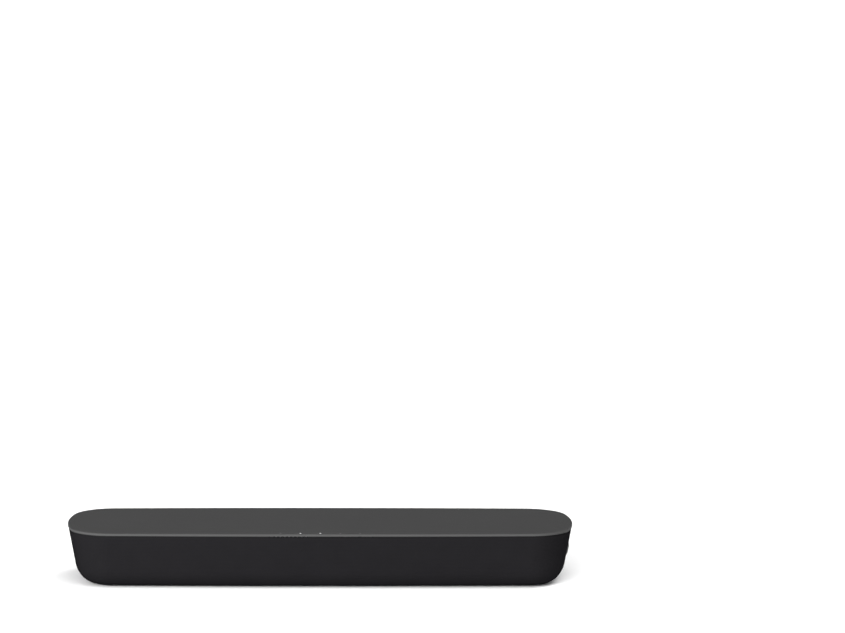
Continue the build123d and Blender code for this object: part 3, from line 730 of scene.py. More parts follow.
def buildPanel(work, rimRings, rims, holes, drill, outer, inner, spacing):
    # a plate between two faces: rimRings close its edge, each hole is drilled from the outer face
    # outer and inner turn a hole's flat point into the sheet's, and that into a place
    addRings(work, rimRings)
    outerHoles, innerHoles = [], []
    for hole in holes:
        loop, path = hole["loop"], hole.get("path", [])
        if path:
            loops = addRings(work, [[drill(u, v, deep) for u, v in loop(offset)] for offset, deep in path])
            outerHoles.append([outer[0](u, v) for u, v in loop(path[0][0])])
            if hole.get("capped"):
                work.faces.new(loops[-1])
            elif path[-1][1] == "inner":
                innerHoles.append([inner[0](u, v) for u, v in loop(path[-1][0])])
        back = hole.get("back", [])
        if back:
            loops = addRings(work, [[drill(u, v, deep) for u, v in loop(offset)] for offset, deep in back])
            innerHoles.append([inner[0](u, v) for u, v in loop(back[0][0])])
            if not hole.get("openBack"):
                work.faces.new(loops[-1])
    addSheet(work, rims[0], outerHoles, spacing, outer[1])
    addSheet(work, rims[1], innerHoles, spacing, inner[1])


def sameFlat(u, v):
    return (u, v)


def makeSmooth(piece, angle=35):
    mesh = piece.data
    work = bmesh.new()
    work.from_mesh(mesh)
    bmesh.ops.recalc_face_normals(work, faces=work.faces)
    work.normal_update()
    limit = math.radians(angle)
    for face in work.faces:
        face.smooth = True
    for edge in work.edges:
        edge.smooth = len(edge.link_faces) == 2 and edge.calc_face_angle(0) < limit
    work.to_mesh(mesh)
    work.free()


def paint(piece, material):
    piece.data.materials.clear()
    piece.data.materials.append(material)


# Lid

lid = {
    "round": 1.2 * mm,
    "lowRound": 0.4 * mm,
    "lowSupport": 0.7 * mm,
    "holeRadius": 0.9 * mm,
    "holeLip": 0.12 * mm,
    "lightPitch": 17.5 * mm,
    "lightSetback": 3.5 * mm,
    "bossRadius": 3.5 * mm,
    "bossDrop": 9.3 * mm,
    "bossFoot": 0.3 * mm,
    "chamfer": 0.2 * mm,
    "pilotRadius": 1.45 * mm,
}


def lightPlaces():
    y = -halfDepth + lid["lightSetback"]
    return [((step - 2) * lid["lightPitch"], y) for step in range(5)]


def postPlaces():
    inset = floorInset + casing["postRadius"] + casing["postGap"]
    endX, backY = halfLength - inset, halfDepth - inset
    near = [(sx * casing["postX"], sy * backY) for sx in (-1, 1) for sy in (-1, 1)]
    along, across = casing["cornerPost"]
    far = [(sx * (endX - along), backY - across) for sx in (-1, 1)]
    ends = [(sx * endX, casing["endPostY"]) for sx in (-1, 1)]
    return near + far + ends


def makeLid():
    low = lidTop - casing["lidEdge"]

    def drill(x, y, deep):
        return Vector((x, y, low if deep == "inner" else lidTop - deep))

    rim = planLoop()
    edge = lipPath(lid["round"], casing["lidEdge"] - lid["lowRound"], 0.8 * mm, 10, -1)
    for left, gained in quarterTurn(5, 1):
        edge.append((-lid["lowRound"] * gained, casing["lidEdge"] - lid["lowRound"] * left))
    edge.append((-lid["lowRound"] - lid["lowSupport"], casing["lidEdge"]))
    rings = [[drill(u, v, deep) for u, v in rim(offset)] for offset, deep in edge]
    holes = []
    for x, y in lightPlaces():
        path = lipPath(lid["holeLip"], casing["lidEdge"] - 0.1 * mm, 0.25 * mm, 3) + [(0.05 * mm, "inner")]
        holes.append({"loop": circleLoop(x, y, lid["holeRadius"], 6), "path": path})
    drop = casing["lidEdge"] + lid["bossDrop"]
    toe, chamfer, pilot = lid["bossFoot"], lid["chamfer"], lid["pilotRadius"] - lid["bossRadius"]
    for x, y in postPlaces():
        back = [(toe, "inner"), (0.0, casing["lidEdge"] + toe), (0.0, drop - chamfer), (-chamfer, drop),
                (pilot, drop), (pilot, casing["lidEdge"] + 1.0 * mm)]
        holes.append({"loop": circleLoop(x, y, lid["bossRadius"], 5), "back": back})
    work = bmesh.new()
    rims = (rim(edge[0][0]), rim(edge[-1][0]))
    buildPanel(work, rings, rims, holes, drill, (sameFlat, atHeight(lidTop)), (sameFlat, atHeight(low)),
               (9.0 * mm, 9.0 * mm))
    piece = finishMesh(work, "lid", 30)
    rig.replaces(piece, "top_panel")
    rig.slot(piece, "lid_plastic")
    return piece


# Cloth

cloth = {
    "thick": 0.55 * mm,
    "hemDrop": 0.35 * mm,
    "rows": 26,
    "turns": 16,
    "seamGap": 0.35 * mm,
    "keyHole": (27.2 * mm, 3.7 * mm),
}


def clothSection():
    # down the outside, round the turned-under hem and back up the inside
    def side(skin):
        line = formLength(skin)
        share, start = line[0] / line[1], cloth["hemDrop"] / line[1]
        parts = [start + (share - start) * index / cloth["rows"] for index in range(cloth["rows"])]
        parts += [share + (1 - share) * index / cloth["turns"] for index in range(cloth["turns"] + 1)]
        return [formAt(skin, part) for part in parts]

    outer, inner = side(0.0), side(cloth["thick"])
    fold = cloth["thick"] / 2
    path = [(outer[0][0] + fold * 0.9, outer[0][1]), (outer[0][0] + fold * 0.25, outer[0][1] - fold * 0.25)]
    path += [(outer[0][0] + (outer[1][0] - outer[0][0]) * 0.4, outer[0][1] - fold)] + outer[1:]
    path += [(outer[-1][0] + fold, outer[-1][1] + fold)] + list(reversed(inner[1:]))
    path += [(inner[0][0], inner[0][1] - fold * 0.5)]
    runs, run = [], 0.0
    for last, point in zip(path[:1] + path, path):
        run += math.dist(last, point)
        runs.append(run)
    return path, runs


def cutWith(piece, cutter):
    # subtracts a closed mesh and keeps the result as the piece's own mesh
    cut = piece.modifiers.new("cut", "BOOLEAN")
    cut.operation = "DIFFERENCE"
    cut.solver = "EXACT"
    cut.object = cutter
    graph = bpy.context.evaluated_depsgraph_get()
    mesh = bpy.data.meshes.new_from_object(piece.evaluated_get(graph))
    piece.modifiers.clear()
    piece.data = mesh
    bpy.data.objects.remove(cutter)


def makeCloth():
    section, runs = clothSection()
    # the ring starts at the left rear seam and ends at the right one
    seamX = casing["rearHalf"] + cloth["seamGap"]
    ring = [entry for entry in outline() if entry[0].y <= 0 or abs(entry[0].x) >= seamX]
    work = bmesh.new()
    layer = work.loops.layers.uv.new("cloth")
    columns = [[work.verts.new((point.x - normal.x * inset, point.y - normal.y * inset, height))
                for inset, height in section] for point, normal, run in ring]
    wide = len(section)
    for index in range(len(ring) - 1):
        for step in range(wide):
            beside = (step + 1) % wide
            corners = [(index, step), (index, beside), (index + 1, beside), (index + 1, step)]
            face = work.faces.new([columns[column][row] for column, row in corners])
            for loop, (column, row) in zip(face.loops, corners):
                loop[layer].uv = (ring[column][2], runs[row])
    for column in (columns[0], columns[-1]):
        work.faces.new(column)
    bmesh.ops.recalc_face_normals(work, faces=work.faces)
    piece = newObject("clothCover", meshFrom(work, "clothCover"))
    halfRun, halfTall = cloth["keyHole"]
    loop = roundBox(0, casing["featureZ"], halfRun, halfTall, halfTall)(0.0)
    work = bmesh.new()
    ends = (halfLength - 20 * mm, halfLength + 9 * mm)
    loops = addRings(work, [[Vector((x, y, z)) for y, z in loop] for x in ends])
    work.faces.new(loops[0])
    work.faces.new(loops[1])
    bmesh.ops.recalc_face_normals(work, faces=work.faces)
    cutWith(piece, placed("keyHole", meshFrom(work, "keyHole")))
    makeSmooth(piece, 40)
    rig.replaces(piece, "grille_cloth")
    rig.slot(piece, "grille_cloth")
    size = (ring[-1][2] - ring[0][2], max(runs) / 2)
    print("cloth flat size", [round(value, 4) for value in size])
    return piece, size


# Foam strip that keeps the indicators' light out of the seam, in the notch of the grille frame

seal = {
    "half": 44.95 * mm,
    "steps": 30,
    "thick": 1.3 * mm,
    "low": 1.5 * mm,
    "top": 0.12 * mm,
    "gap": 0.15 * mm,
}


def makeSeal():
    skin = casing["reveal"] + cloth["thick"] / math.cos(casing["draft"]) + seal["gap"]
    places = [seal["half"] * (2 * step / seal["steps"] - 1) for step in range(seal["steps"] + 1)]
    lean = (seal["low"] - seal["top"]) * math.tan(casing["draft"])
    section = [(skin, seal["top"]), (skin + lean, seal["low"]),
               (skin + lean + seal["thick"], seal["low"]), (skin + seal["thick"], seal["top"])]
    work = bmesh.new()
    columns = []
    for x in places:
        column = [backPoint(x, inset, seamZ - drop) for inset, drop in section]
        columns.append([work.verts.new((point.x, -point.y, point.z)) for point in column])
    for near, far in zip(columns, columns[1:]):
        for step in range(4):
            beside = (step + 1) % 4
            work.faces.new((near[step], near[beside], far[beside], far[step]))
    work.faces.new(columns[0])
    work.faces.new(columns[-1])
    piece = finishMesh(work, "lightSeal", 30, False)
    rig.slot(piece, "black_plastic")
    return piece


# Rear cover, with the socket bay, the port mouths, the vents and the recesses of the wall fixings

rear = {
    "wall": 2.4 * mm,
    "lip": 0.5 * mm,
    "bay": (56 * mm, 14.5 * mm, 36.5 * mm),
    "bayFloor": 46 * mm,
    "bayWall": 2 * mm,
    "fillet": 0.8 * mm,
    "bayLip": 1.2 * mm,
    "portLip": 0.4 * mm,
    "insertLip": 0.35 * mm,
    "ventLip": 0.3 * mm,
    "socketGap": 0.2 * mm,
    "portX": 100 * mm,
    "portHole": 12.7 * mm,
    "insertX": 130 * mm,
    "insertRecess": 7.6 * mm,
    "insertSeat": 60 * mm,
    "insertLength": 10 * mm,
    "insertHole": 3.65 * mm,
    "vents": 5,
    "ventStart": 66 * mm,
    "ventPitch": 4 * mm,
    "ventHalf": 10.5 * mm,
    "ventWidth": 2 * mm,
    "boardTop": 17.6 * mm,
    "sockets": ((-44, 15.0, 6.0), (-24, 10.0, 10.4), (-4, 13.2, 6.2), (37, 24.0, 15.0)),
}


def rearDrill(x, z, deep):
    if deep == "inner":
        return backPoint(x, *formAt(rear["wall"], partAt(rear["wall"], z)))
    if isinstance(deep, tuple):
        return Vector((x, deep[0], z))
    return backPoint(x, *formAt(0.0, partAt(0.0, z))) - Vector((0, deep, 0))


def makeRearCover():
    wall, lip = rear["wall"], rear["lip"]
    whole = formLength(0.0)[1]

    def flat(skin):
        return lambda x, z: (x, partAt(skin, z) * whole)

    def place(skin):
        return lambda x, run: backPoint(x, *formAt(skin, min(1.0, max(0.0, run / whole))))

    rim = roundBox(0, whole / 2, casing["rearHalf"], whole / 2, 0.8 * mm, 2.5 * mm)
    edge = lipPath(lip, wall - 0.3 * mm, 0.2 * mm, 4, -1) + [(-0.3 * mm, wall)]
    rings = [[place(skin)(x, run) for x, run in rim(offset)] for offset, skin in edge]
    z = casing["featureZ"]
    holes = []
    for side in (-1, 1):
        mouth = lipPath(rear["portLip"], wall) + [(0.0, "inner")]
        holes.append({"loop": circleLoop(side * rear["portX"], z, rear["portHole"], 12), "path": mouth})
        seat, bore = (rear["insertSeat"],), rear["insertHole"] - rear["insertRecess"]
        end = (rear["insertSeat"] - rear["insertLength"],)
        recess = lipPath(rear["insertLip"], wall)[:-1] + [(0.0, seat), (bore + 0.2 * mm, seat)]
        recess += [(bore, (seat[0] - 0.2 * mm,)), (bore, end)]
        back = [(1.0 * mm, "inner"), (1.0 * mm, (end[0] - 1.0 * mm,))]
        holes.append({"loop": circleLoop(side * rear["insertX"], z, rear["insertRecess"], 9), "path": recess,
                      "capped": True, "back": back})
        for step in range(rear["vents"]):
            x, width = side * (rear["ventStart"] + rear["ventPitch"] * step), rear["ventWidth"] / 2
            vent = roundBox(x, z, width, rear["ventHalf"], width)
            path = lipPath(rear["ventLip"], wall, 0.3 * mm) + [(0.0, "inner")]
            holes.append({"loop": vent, "path": path})
    half, low, high = rear["bay"]
    bay = roundBox(0, (low + high) / 2, half, (high - low) / 2, 2.0 * mm)
    floor, back = rear["bayFloor"], rear["bayFloor"] - rear["bayWall"]
    fillet = rear["fillet"]
    path = lipPath(fillet, rear["bayLip"]) + [(0.0, (floor + fillet,))]
    path += [(-fillet * gained, (floor + fillet * left,)) for left, gained in quarterTurn(4, 1)]
    tub = [(rear["bayWall"], "inner"), (rear["bayWall"], (back,))]
    holes.append({"loop": bay, "path": path, "back": tub, "openBack": True})
    work = bmesh.new()
    openings = []
    for x, wide, tall in rear["sockets"]:
        middle, gap = rear["boardTop"] + tall * mm / 2, rear["socketGap"]
        loop = roundBox(x * mm, middle, wide * mm / 2 + gap, tall * mm / 2 + gap, 0.4 * mm)
        openings.append(loop)
        lips = lipPath(0.2 * mm, 1.0 * mm, 0.3 * mm)
        rows = [(offset, (floor - deep,)) for offset, deep in lips] + [(0.0, (back,))]
        addRings(work, [[rearDrill(u, v, deep) for u, v in loop(offset)] for offset, deep in rows])
    plate = [loop(0.5 * mm) for loop in openings], [loop(0.0) for loop in openings]
    spacing = (6 * mm, 6 * mm)
    addSheet(work, bay(path[-1][0]), plate[0], spacing, lambda u, v: Vector((u, floor, v)))
    addSheet(work, bay(rear["bayWall"]), plate[1], spacing, lambda u, v: Vector((u, back, v)))
    inner = (flat(wall), place(wall))
    buildPanel(work, rings, (rim(edge[0][0]), rim(edge[-1][0])), holes, rearDrill,
               (flat(0.0), place(0.0)), inner, (5.0 * mm, 2.4 * mm))
    piece = finishMesh(work, "rearCover")
    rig.replaces(piece, "rear_cover")
    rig.slot(piece, "black_plastic")
    return piece


# Bottom case: the floor with its vents, screw wells and foot recesses, and the upstand behind the skins

bottom = {
    "floor": 2.4 * mm,
    "edge": 0.4 * mm,
    "wellRadius": 3.0 * mm,
    "screwHole": 1.7 * mm,
    "footHole": 7.1 * mm,
    "footRecess": 1.0 * mm,
    "vents": 9,
    "ventPitch": 9 * mm,
    "ventRow": 14.65 * mm,
    "ventHalf": 9.6 * mm,
    "ventWidth": 2.4 * mm,
    "support": 0.15 * mm,
    "clear": 0.3 * mm,
    "lip": 0.35 * mm,
    "postWall": 0.7 * mm,
    "postDrop": 9.4 * mm,
    "chamfer": 0.2 * mm,
    "neck": 0.5 * mm,
    "boardPostRadius": 3 * mm,
    "boardPilot": 1.95 * mm,
    "boardPilotDeep": 8 * mm,
    "boardInset": (5 * mm, 14 * mm),
    "boardZ": 16 * mm,
}


def footPlaces():
    x, y = halfLength - casing["footX"], halfDepth - casing["footY"]
    return [(sx * x, sy * y) for sx in (-1, 1) for sy in (-1, 1)]


def makeBottomCase():
    floorZ = baseZ + bottom["floor"]

    def drill(x, y, deep):
        if isinstance(deep, tuple):
            return Vector((x, y, deep[0]))
        return Vector((x, y, floorZ if deep == "inner" else baseZ + deep))

    rim = planLoop()
    start = floorInset + bottom["clear"]
    under = lipPath(bottom["edge"], bottom["floor"] - bottom["edge"], bottom["support"], 4, -1)
    edge = [(start - offset, baseZ + deep) for offset, deep in under]
    skin, inner = casing["caseSkin"], casing["caseSkin"] + casing["caseWall"]
    topPart = partAt(skin, casing["trayTop"])
    edge.append((start, formAt(skin, 1.0)[1]))
    edge += [formAt(skin, 1 + (topPart - 1) * step / 10) for step in range(11)]
    innerPart = partAt(inner, casing["trayTop"])
    edge += [formAt(inner, innerPart + (1 - innerPart) * step / 10) for step in range(11)]
    last = start + bottom["neck"]
    edge += [(last, formAt(inner, 1.0)[1]), (last, floorZ)]
    rings = [[Vector((u, v, height)) for u, v in rim(-inset)] for inset, height in edge]
    postTop = lidTop - casing["lidEdge"] - bottom["postDrop"]
    seat = (postTop - casing["postCap"],)
    chamfer = bottom["chamfer"]
    holes = []
    for x, y in postPlaces():
        narrow = bottom["screwHole"] - bottom["wellRadius"]
        wide = bottom["postWall"]
        path = lipPath(bottom["lip"], bottom["floor"], bottom["support"])
        path += [(0.0, seat), (narrow, seat), (narrow, (postTop,)), (wide - chamfer, (postTop,))]
        path += [(wide, (postTop - chamfer,)), (wide, "inner")]
        holes.append({"loop": circleLoop(x, y, bottom["wellRadius"], 7), "path": path})
    for x, y in footPlaces():
        path = lipPath(0.2 * mm, bottom["footRecess"])
        holes.append({"loop": circleLoop(x, y, bottom["footHole"], 12), "path": path, "capped": True})
    for step in range(bottom["vents"]):
        for side in (-1, 1):
            x, width = (step - (bottom["vents"] - 1) / 2) * bottom["ventPitch"], bottom["ventWidth"] / 2
            slot = roundBox(x, side * bottom["ventRow"], width, bottom["ventHalf"], width)
            holes.append({"loop": slot, "path": lipPath(bottom["lip"], bottom["floor"]) + [(0.0, "inner")]})
    # the boards' posts stand on the inner floor only
    height, pilot = (bottom["boardZ"],), -bottom["boardPilot"]
    for x, y in boardPosts():
        back = [(0.4 * mm, "inner"), (0.0, bottom["floor"] + 0.4 * mm), (0.0, height), (pilot, height),
                (pilot, (height[0] - bottom["boardPilotDeep"],))]
        holes.append({"loop": circleLoop(x, y, bottom["boardPostRadius"], 5), "back": back})
    work = bmesh.new()
    rims = (rim(-edge[0][0]), rim(-edge[-1][0]))
    buildPanel(work, rings, rims, holes, drill, (sameFlat, atHeight(baseZ)),
               (sameFlat, atHeight(floorZ)), (7.0 * mm, 7.0 * mm))
    piece = finishMesh(work, "bottomCase")
    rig.replaces(piece, "bottom_case")
    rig.slot(piece, "black_plastic")
    return piece


def boardPosts():
    low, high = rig.box("main_board")
    farLow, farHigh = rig.box("power_board")
    side, back = bottom["boardInset"]
    return [(x, y) for left, right in ((low.x, high.x), (farLow.x, farHigh.x))
            for x in (left + side, right - side) for y in (low.y + side, high.y - back)]


# Feet

foot = {
    "radius": 7 * mm,
    "round": 0.45 * mm,
    "grooves": (2.2 * mm, 3.6 * mm, 5.0 * mm),
    "groove": 0.22 * mm,
    "grooveTop": 0.35 * mm,
    "grooveFloor": 0.15 * mm,
}


def makeFeet():
    work = bmesh.new()
    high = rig.box("rubber_feet")[1].z
    for x, y in footPlaces():
        path = [(0.6 * mm, 0.0)]
        deep, top, floor = foot["groove"], foot["grooveTop"], foot["grooveFloor"]
        for radius in foot["grooves"]:
            path += [(radius - top, 0.0), (radius - floor, deep), (radius + floor, deep), (radius + top, 0.0)]
        rounded, edge = foot["round"], foot["radius"]
        path += [(edge - rounded * left, rounded * gained) for left, gained in quarterTurn(5)]
        path += [(edge, high - 0.2 * mm), (edge - 0.2 * mm, high)]
        addTurned(work, path, lambda u, v, run: Vector((x + u, y + v, run)), 48, True, True)
    piece = finishMesh(work, "rubberFeet", 40)
    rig.replaces(piece, "rubber_feet")
    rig.slot(piece, "foot_rubber")
    return piece


# Ports and wall fixings

port = {
    "radius": 8.5 * mm,
    "wall": 1.5 * mm,
    "flare": 4.0 * mm,
    "flareLength": 9 * mm,
    "under": 0.35 * mm,
    "rim": 0.7 * mm,
    "chamfer": 0.3 * mm,
    "collar": 4 * mm,
}


def makePort(name, side):
    # a flared tube whose rim follows the leaning rear face
    x, z = side * rear["portX"], casing["featureZ"]
    mouth = backPoint(x, *formAt(0.0, partAt(0.0, z))).y - port["under"]
    radius, length, chamfer = port["radius"], port["flareLength"], port["chamfer"]
    tubeOuter, edge = radius + port["wall"], radius + port["flare"]
    path = [(tubeOuter, mouth - length - 1 * mm), (tubeOuter, chamfer), (tubeOuter - chamfer, 0.0),
            (radius + chamfer, 0.0), (radius, chamfer)]
    bell, reach = port["flare"] - port["rim"] - 0.25 * mm, length - 0.1 * mm
    for left, gained in quarterTurn(12):
        path.append((radius + bell * gained, mouth - length + reach * (1 - left)))
    path += [(edge - port["rim"], mouth), (edge - 0.25 * mm, mouth - 0.06 * mm), (edge, mouth - 0.4 * mm),
             (edge, mouth - port["collar"])]
    shoulder, neck = (edge, mouth - port["collar"]), (tubeOuter, mouth - length - 1 * mm)
    path += [between(shoulder, neck, step / 5) for step in range(1, 6)]

    def place(u, v, run):
        share = min(1.0, max(0.0, (run - mouth + length) / length))
        lean = backPoint(x + u, *formAt(0.0, partAt(0.0, z + v))).y - port["under"] - mouth
        return Vector((x + u, run + lean * share, z + v))

    work = bmesh.new()
    addTurned(work, path, place, 56)
    piece = finishMesh(work, name + "PortTube", 40)
    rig.replaces(piece, name + "_port_tube")
    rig.slot(piece, "black_plastic")
    return piece


insert = {
    "radius": 3.6 * mm,
    "bore": 2.1 * mm,
    "thread": 0.32 * mm,
    "pitch": 0.8 * mm,
    "knurl": 0.12 * mm,
    "knurlStart": 1.2 * mm,
    "knurlPitch": 2.2 * mm,
    "knurlBand": (0.2 * mm, 0.6 * mm, 0.8 * mm),
    "chamfer": 0.3 * mm,
}


def makeInserts():
    # knurled brass bushes with a thread
    work = bmesh.new()
    low, high = rear["insertSeat"] - rear["insertLength"], rear["insertSeat"]
    radius, chamfer, pitch = insert["radius"], insert["chamfer"], insert["pitch"]
    crest, valley, sunk = insert["bore"], insert["bore"] + insert["thread"], radius - insert["knurl"]
    first, second, third = insert["knurlBand"]
    for side in (-1, 1):
        path = [(valley, low + 0.2 * mm), (radius - chamfer, low), (radius, low + chamfer)]
        for step in range(4):
            start = low + insert["knurlStart"] + insert["knurlPitch"] * step
            path += [(radius, start), (sunk, start + first), (sunk, start + second), (radius, start + third)]
        path += [(radius, high - chamfer), (radius - chamfer, high), (valley + 0.25 * mm, high)]
        for step in range(int((rear["insertLength"] - 1 * mm) / pitch)):
            start = high - 0.35 * mm - step * pitch
            path += [(valley, start), (crest, start - pitch / 2)]
        x = side * rear["insertX"]
        path.append(path[0])
        addTurned(work, path, lambda u, v, run: Vector((x + u, run, casing["featureZ"] + v)), 40)
    piece = finishMesh(work, "wallMountInserts", 30)
    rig.replaces(piece, "wall_mount_inserts")
    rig.slot(piece, "insert_brass")
    return piece


# Side keys and their bezel

keys = {
    "pitch": 13 * mm,
    "halfRun": 5.5 * mm,
    "halfTall": 2.3 * mm,
    "gap": 0.12 * mm,
    "proud": 0.95 * mm,
    "round": 0.5 * mm,
    "support": 0.12 * mm,
    "shoulder": (0.7 * mm, 1.0 * mm),
    "shoulderDeep": 1.35 * mm,
    "backDeep": 2.2 * mm,
    "stemRadius": 1.3 * mm,
    "stemEdge": 0.2 * mm,
    "bezelHalfRun": 27 * mm,
    "bezelHalfTall": 3.5 * mm,
    "bezelProud": 0.6 * mm,
    "bezelLip": 0.22 * mm,
    "bezelPostY": 30 * mm,
    "bezelPost": 2.2 * mm,
    "bezelPilot": 1.15 * mm,
    "bezelPilotDeep": 3 * mm,
    "footHalfRun": 34 * mm,
    "footHalfTall": 4.9 * mm,
    "plate": 1.2 * mm,
    "markDepth": 0.14 * mm,
    "markWidth": 0.42 * mm,
    "markSize": 1.25 * mm,
}


def endDrill(outerSkin, innerSkin):
    def drill(y, z, deep):
        if deep == "inner":
            return endPoint(y, z, innerSkin)
        if isinstance(deep, tuple):
            return Vector((deep[0], y, z))
        return endPoint(y, z, outerSkin) - Vector((deep, 0, 0))

    return drill


def endFaces(outerSkin, innerSkin):
    return [(sameFlat, lambda y, z, skin=skin: endPoint(y, z, skin)) for skin in (outerSkin, innerSkin)]


def pill(y, halfRun, halfTall, step, turns=6):
    return roundBox(y, casing["featureZ"], halfRun, halfTall, halfTall, step, turns)


def makeBezel():
    z = casing["featureZ"]
    low, high = -keys["bezelProud"], casing["caseSkin"] + keys["plate"]
    stride, lip, support = 2.1 * mm, keys["bezelLip"], 0.3 * mm
    face = pill(0, keys["bezelHalfRun"], keys["bezelHalfTall"], stride, 8)
    longer = (keys["footHalfRun"] - keys["footHalfTall"]) / (keys["bezelHalfRun"] - keys["bezelHalfTall"])
    base = pill(0, keys["footHalfRun"], keys["footHalfTall"], stride * longer, 8)(0.0)
    drill = endDrill(low, high)
    rings = [[drill(y, v, deep) for y, v in face(offset)]
             for offset, deep in lipPath(lip, casing["caseSkin"] - 0.4 * mm, support, 4, -1)]
    rings.append([endPoint(y, v, casing["caseSkin"]) for y, v in face(0.0)])
    rings.append([endPoint(y, v, casing["caseSkin"]) for y, v in base])
    rings.append([endPoint(y, v, high) for y, v in base])
    holes = []
    gap = keys["gap"]
    for step in range(4):
        loop = pill((step - 1.5) * keys["pitch"], keys["halfRun"] + gap, keys["halfTall"] + gap, 2 * mm)
        path = lipPath(0.18 * mm, high - low - 0.4 * mm, 0.2 * mm) + [(0.0, "inner")]
        holes.append({"loop": loop, "path": path})
    boardX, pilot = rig.box("button_board")[1].x, -keys["bezelPilot"]
    back = [(0.0, "inner"), (0.0, (boardX,)), (pilot, (boardX,)), (pilot, (boardX + keys["bezelPilotDeep"],))]
    for y in (-keys["bezelPostY"], keys["bezelPostY"]):
        holes.append({"loop": circleLoop(y, z, keys["bezelPost"], 5), "back": back})
    work = bmesh.new()
    outer, inner = endFaces(low, high)
    buildPanel(work, rings, (face(-lip - support), base), holes, drill, outer, inner, (2.0 * mm, 2.0 * mm))
    piece = finishMesh(work, "buttonBezel")
    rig.replaces(piece, "button_bezel")
    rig.slot(piece, "black_plastic")
    return piece


def fixedLoop(points):
    return lambda offset: points


def barMark(y, z, halfRun, halfTall):
    return roundBox(y, z, halfRun, halfTall, min(halfRun, halfTall) * 0.99, turns=3)(0.0)


def plusMark(y, z, half, width):
    w = width / 2
    arm = ((w, w), (w, half), (-w, half))
    points = []
    for turn in range(4):
        for u, v in arm:
            points.append((y + u, z + v))
        arm = [(-v, u) for u, v in arm]
    return points


def ringMark(y, z, radius, width, first, last, steps=18):
    # part of a ring, drawn anticlockwise
    points = []
    for size, angles in ((radius + width / 2, (first, last)), (radius - width / 2, (last, first))):
        for step in range(steps + 1):
            angle = angles[0] + (angles[1] - angles[0]) * step / steps
            points.append((y + size * math.cos(angle), z + size * math.sin(angle)))
    return points


def keyMarks(name, y, z):
    size, width = keys["markSize"], keys["markWidth"]
    if name == "power_button":
        quarter = math.pi / 2
        return [ringMark(y, z, size, width, quarter + 0.6, 5 * quarter - 0.6),
                barMark(y, z + size * 0.75, width / 2, size * 0.5)]
    if name == "input_button":
        # an arrow into a tray
        arrow = ((-0.62, 0.15), (0.0, -0.6), (0.62, 0.15), (0.2, 0.15), (0.2, 1.1), (-0.2, 1.1), (-0.2, 0.15))
        head = [(y + u * size, z + v * size) for u, v in arrow]
        return [head, barMark(y, z - size * 0.95, size * 0.85, width / 2)]
    if name == "volume_down_button":
        return [barMark(y, z, size, width / 2)]
    return [plusMark(y, z, size, width)]


def makeKey(name, body, step):
    # a crowned cap on a shoulder with a stem to its switch
    y, z = (step - 1.5) * keys["pitch"], casing["featureZ"]
    low, high = -keys["proud"], casing["caseSkin"] + keys["backDeep"]
    shoulder = casing["caseSkin"] + keys["shoulderDeep"]
    along, across = keys["shoulder"]
    face = pill(y, keys["halfRun"], keys["halfTall"], 1.5 * mm, 7)
    wide = pill(y, keys["halfRun"] + along, keys["halfTall"] + across, 1.5 * mm, 7)
    drill = endDrill(low, high)
    rings = [[drill(u, v, deep) for u, v in face(offset)]
             for offset, deep in lipPath(keys["round"], 2.0 * mm, keys["support"], 6, -1)]
    rings.append([endPoint(u, v, shoulder) for u, v in face(0.0)])
    rings.append([endPoint(u, v, shoulder) for u, v in wide(0.0)])
    rings.append([endPoint(u, v, high) for u, v in wide(0.0)])
    holes = []
    for mark in keyMarks(name, y, z):
        path = [(0.0, 0.0), (0.0, keys["markDepth"])]
        holes.append({"loop": fixedLoop(mark), "path": path, "capped": True})
    stemEnd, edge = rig.box(name)[0].x, keys["stemEdge"]
    back = [(edge, "inner"), (0.0, (endPoint(y, z, high).x - 0.3 * mm,)), (0.0, (stemEnd + edge,)),
            (-edge, (stemEnd,))]
    holes.append({"loop": circleLoop(y, z, keys["stemRadius"], 5), "back": back})
    work = bmesh.new()
    outer, inner = endFaces(low, high)
    rims = (face(-keys["round"] - keys["support"]), wide(0.0))
    buildPanel(work, rings, rims, holes, drill, outer, inner, (0.9 * mm, 0.9 * mm))
    words = name.split("_")
    piece = finishMesh(work, words[0] + "".join(word.title() for word in words[1:]), 35, True, body)
    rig.replaces(piece, name)
    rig.slot(piece, "key_plastic")
    return piece


# Indicators: light guides in the lid's holes, with a domed tip

guide = {
    "gap": 0.08 * mm,
    "start": 0.1 * mm,
    "tip": ((1.0, 0.25 * mm), (0.92, 0.1 * mm), (0.6, 0.03 * mm)),
    "lit": (1, 2),
}


def makeLights():
    radius = lid["holeRadius"] - guide["gap"]
    path = [(radius, lidTop - casing["lidEdge"] + guide["start"])]
    path += [(radius * share, lidTop - drop) for share, drop in guide["tip"]]
    shown = []
    for index, (x, y) in enumerate(lightPlaces()):
        work = bmesh.new()
        addTurned(work, path, lambda u, v, run: Vector((x + u, y + v, run)), 24, True, True)
        piece = finishMesh(work, f"lightGuide{index + 1}", 35, False)
        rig.slot(piece, "clear_guide")
        paint(piece, litGuide if index in guide["lit"] else dimGuide)
        shown.append(piece)
    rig.replaces(shown[1], "lit_indicators")
    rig.replaces(shown[0], "unlit_indicators")


# Stage

studio = {
    "floor": 0.9,
    "floorHalf": 12.0,
    "world": 0.24,
    "cameraAhead": 4.0,
    "cameraAbove": 0.706,
    "lens": 193.5,
    "pan": 0.0226,
    "tilt": -0.1305,
    "roll": 0.0046,
    "frontAim": (0.34, 0.88, -0.36),
    "front": 2.9,
    "overheadAim": (-0.15, 0.45, -0.9),
    "overhead": 1.7,
    "rearAim": (-0.65, -0.5, -0.6),
    "rear": 2.0,
    "spread": math.radians(40),
    "strip": ((-1.0, -1.2, 0.5), (-0.15, 0, 0.04), (0.3, 0.6), 21),
}


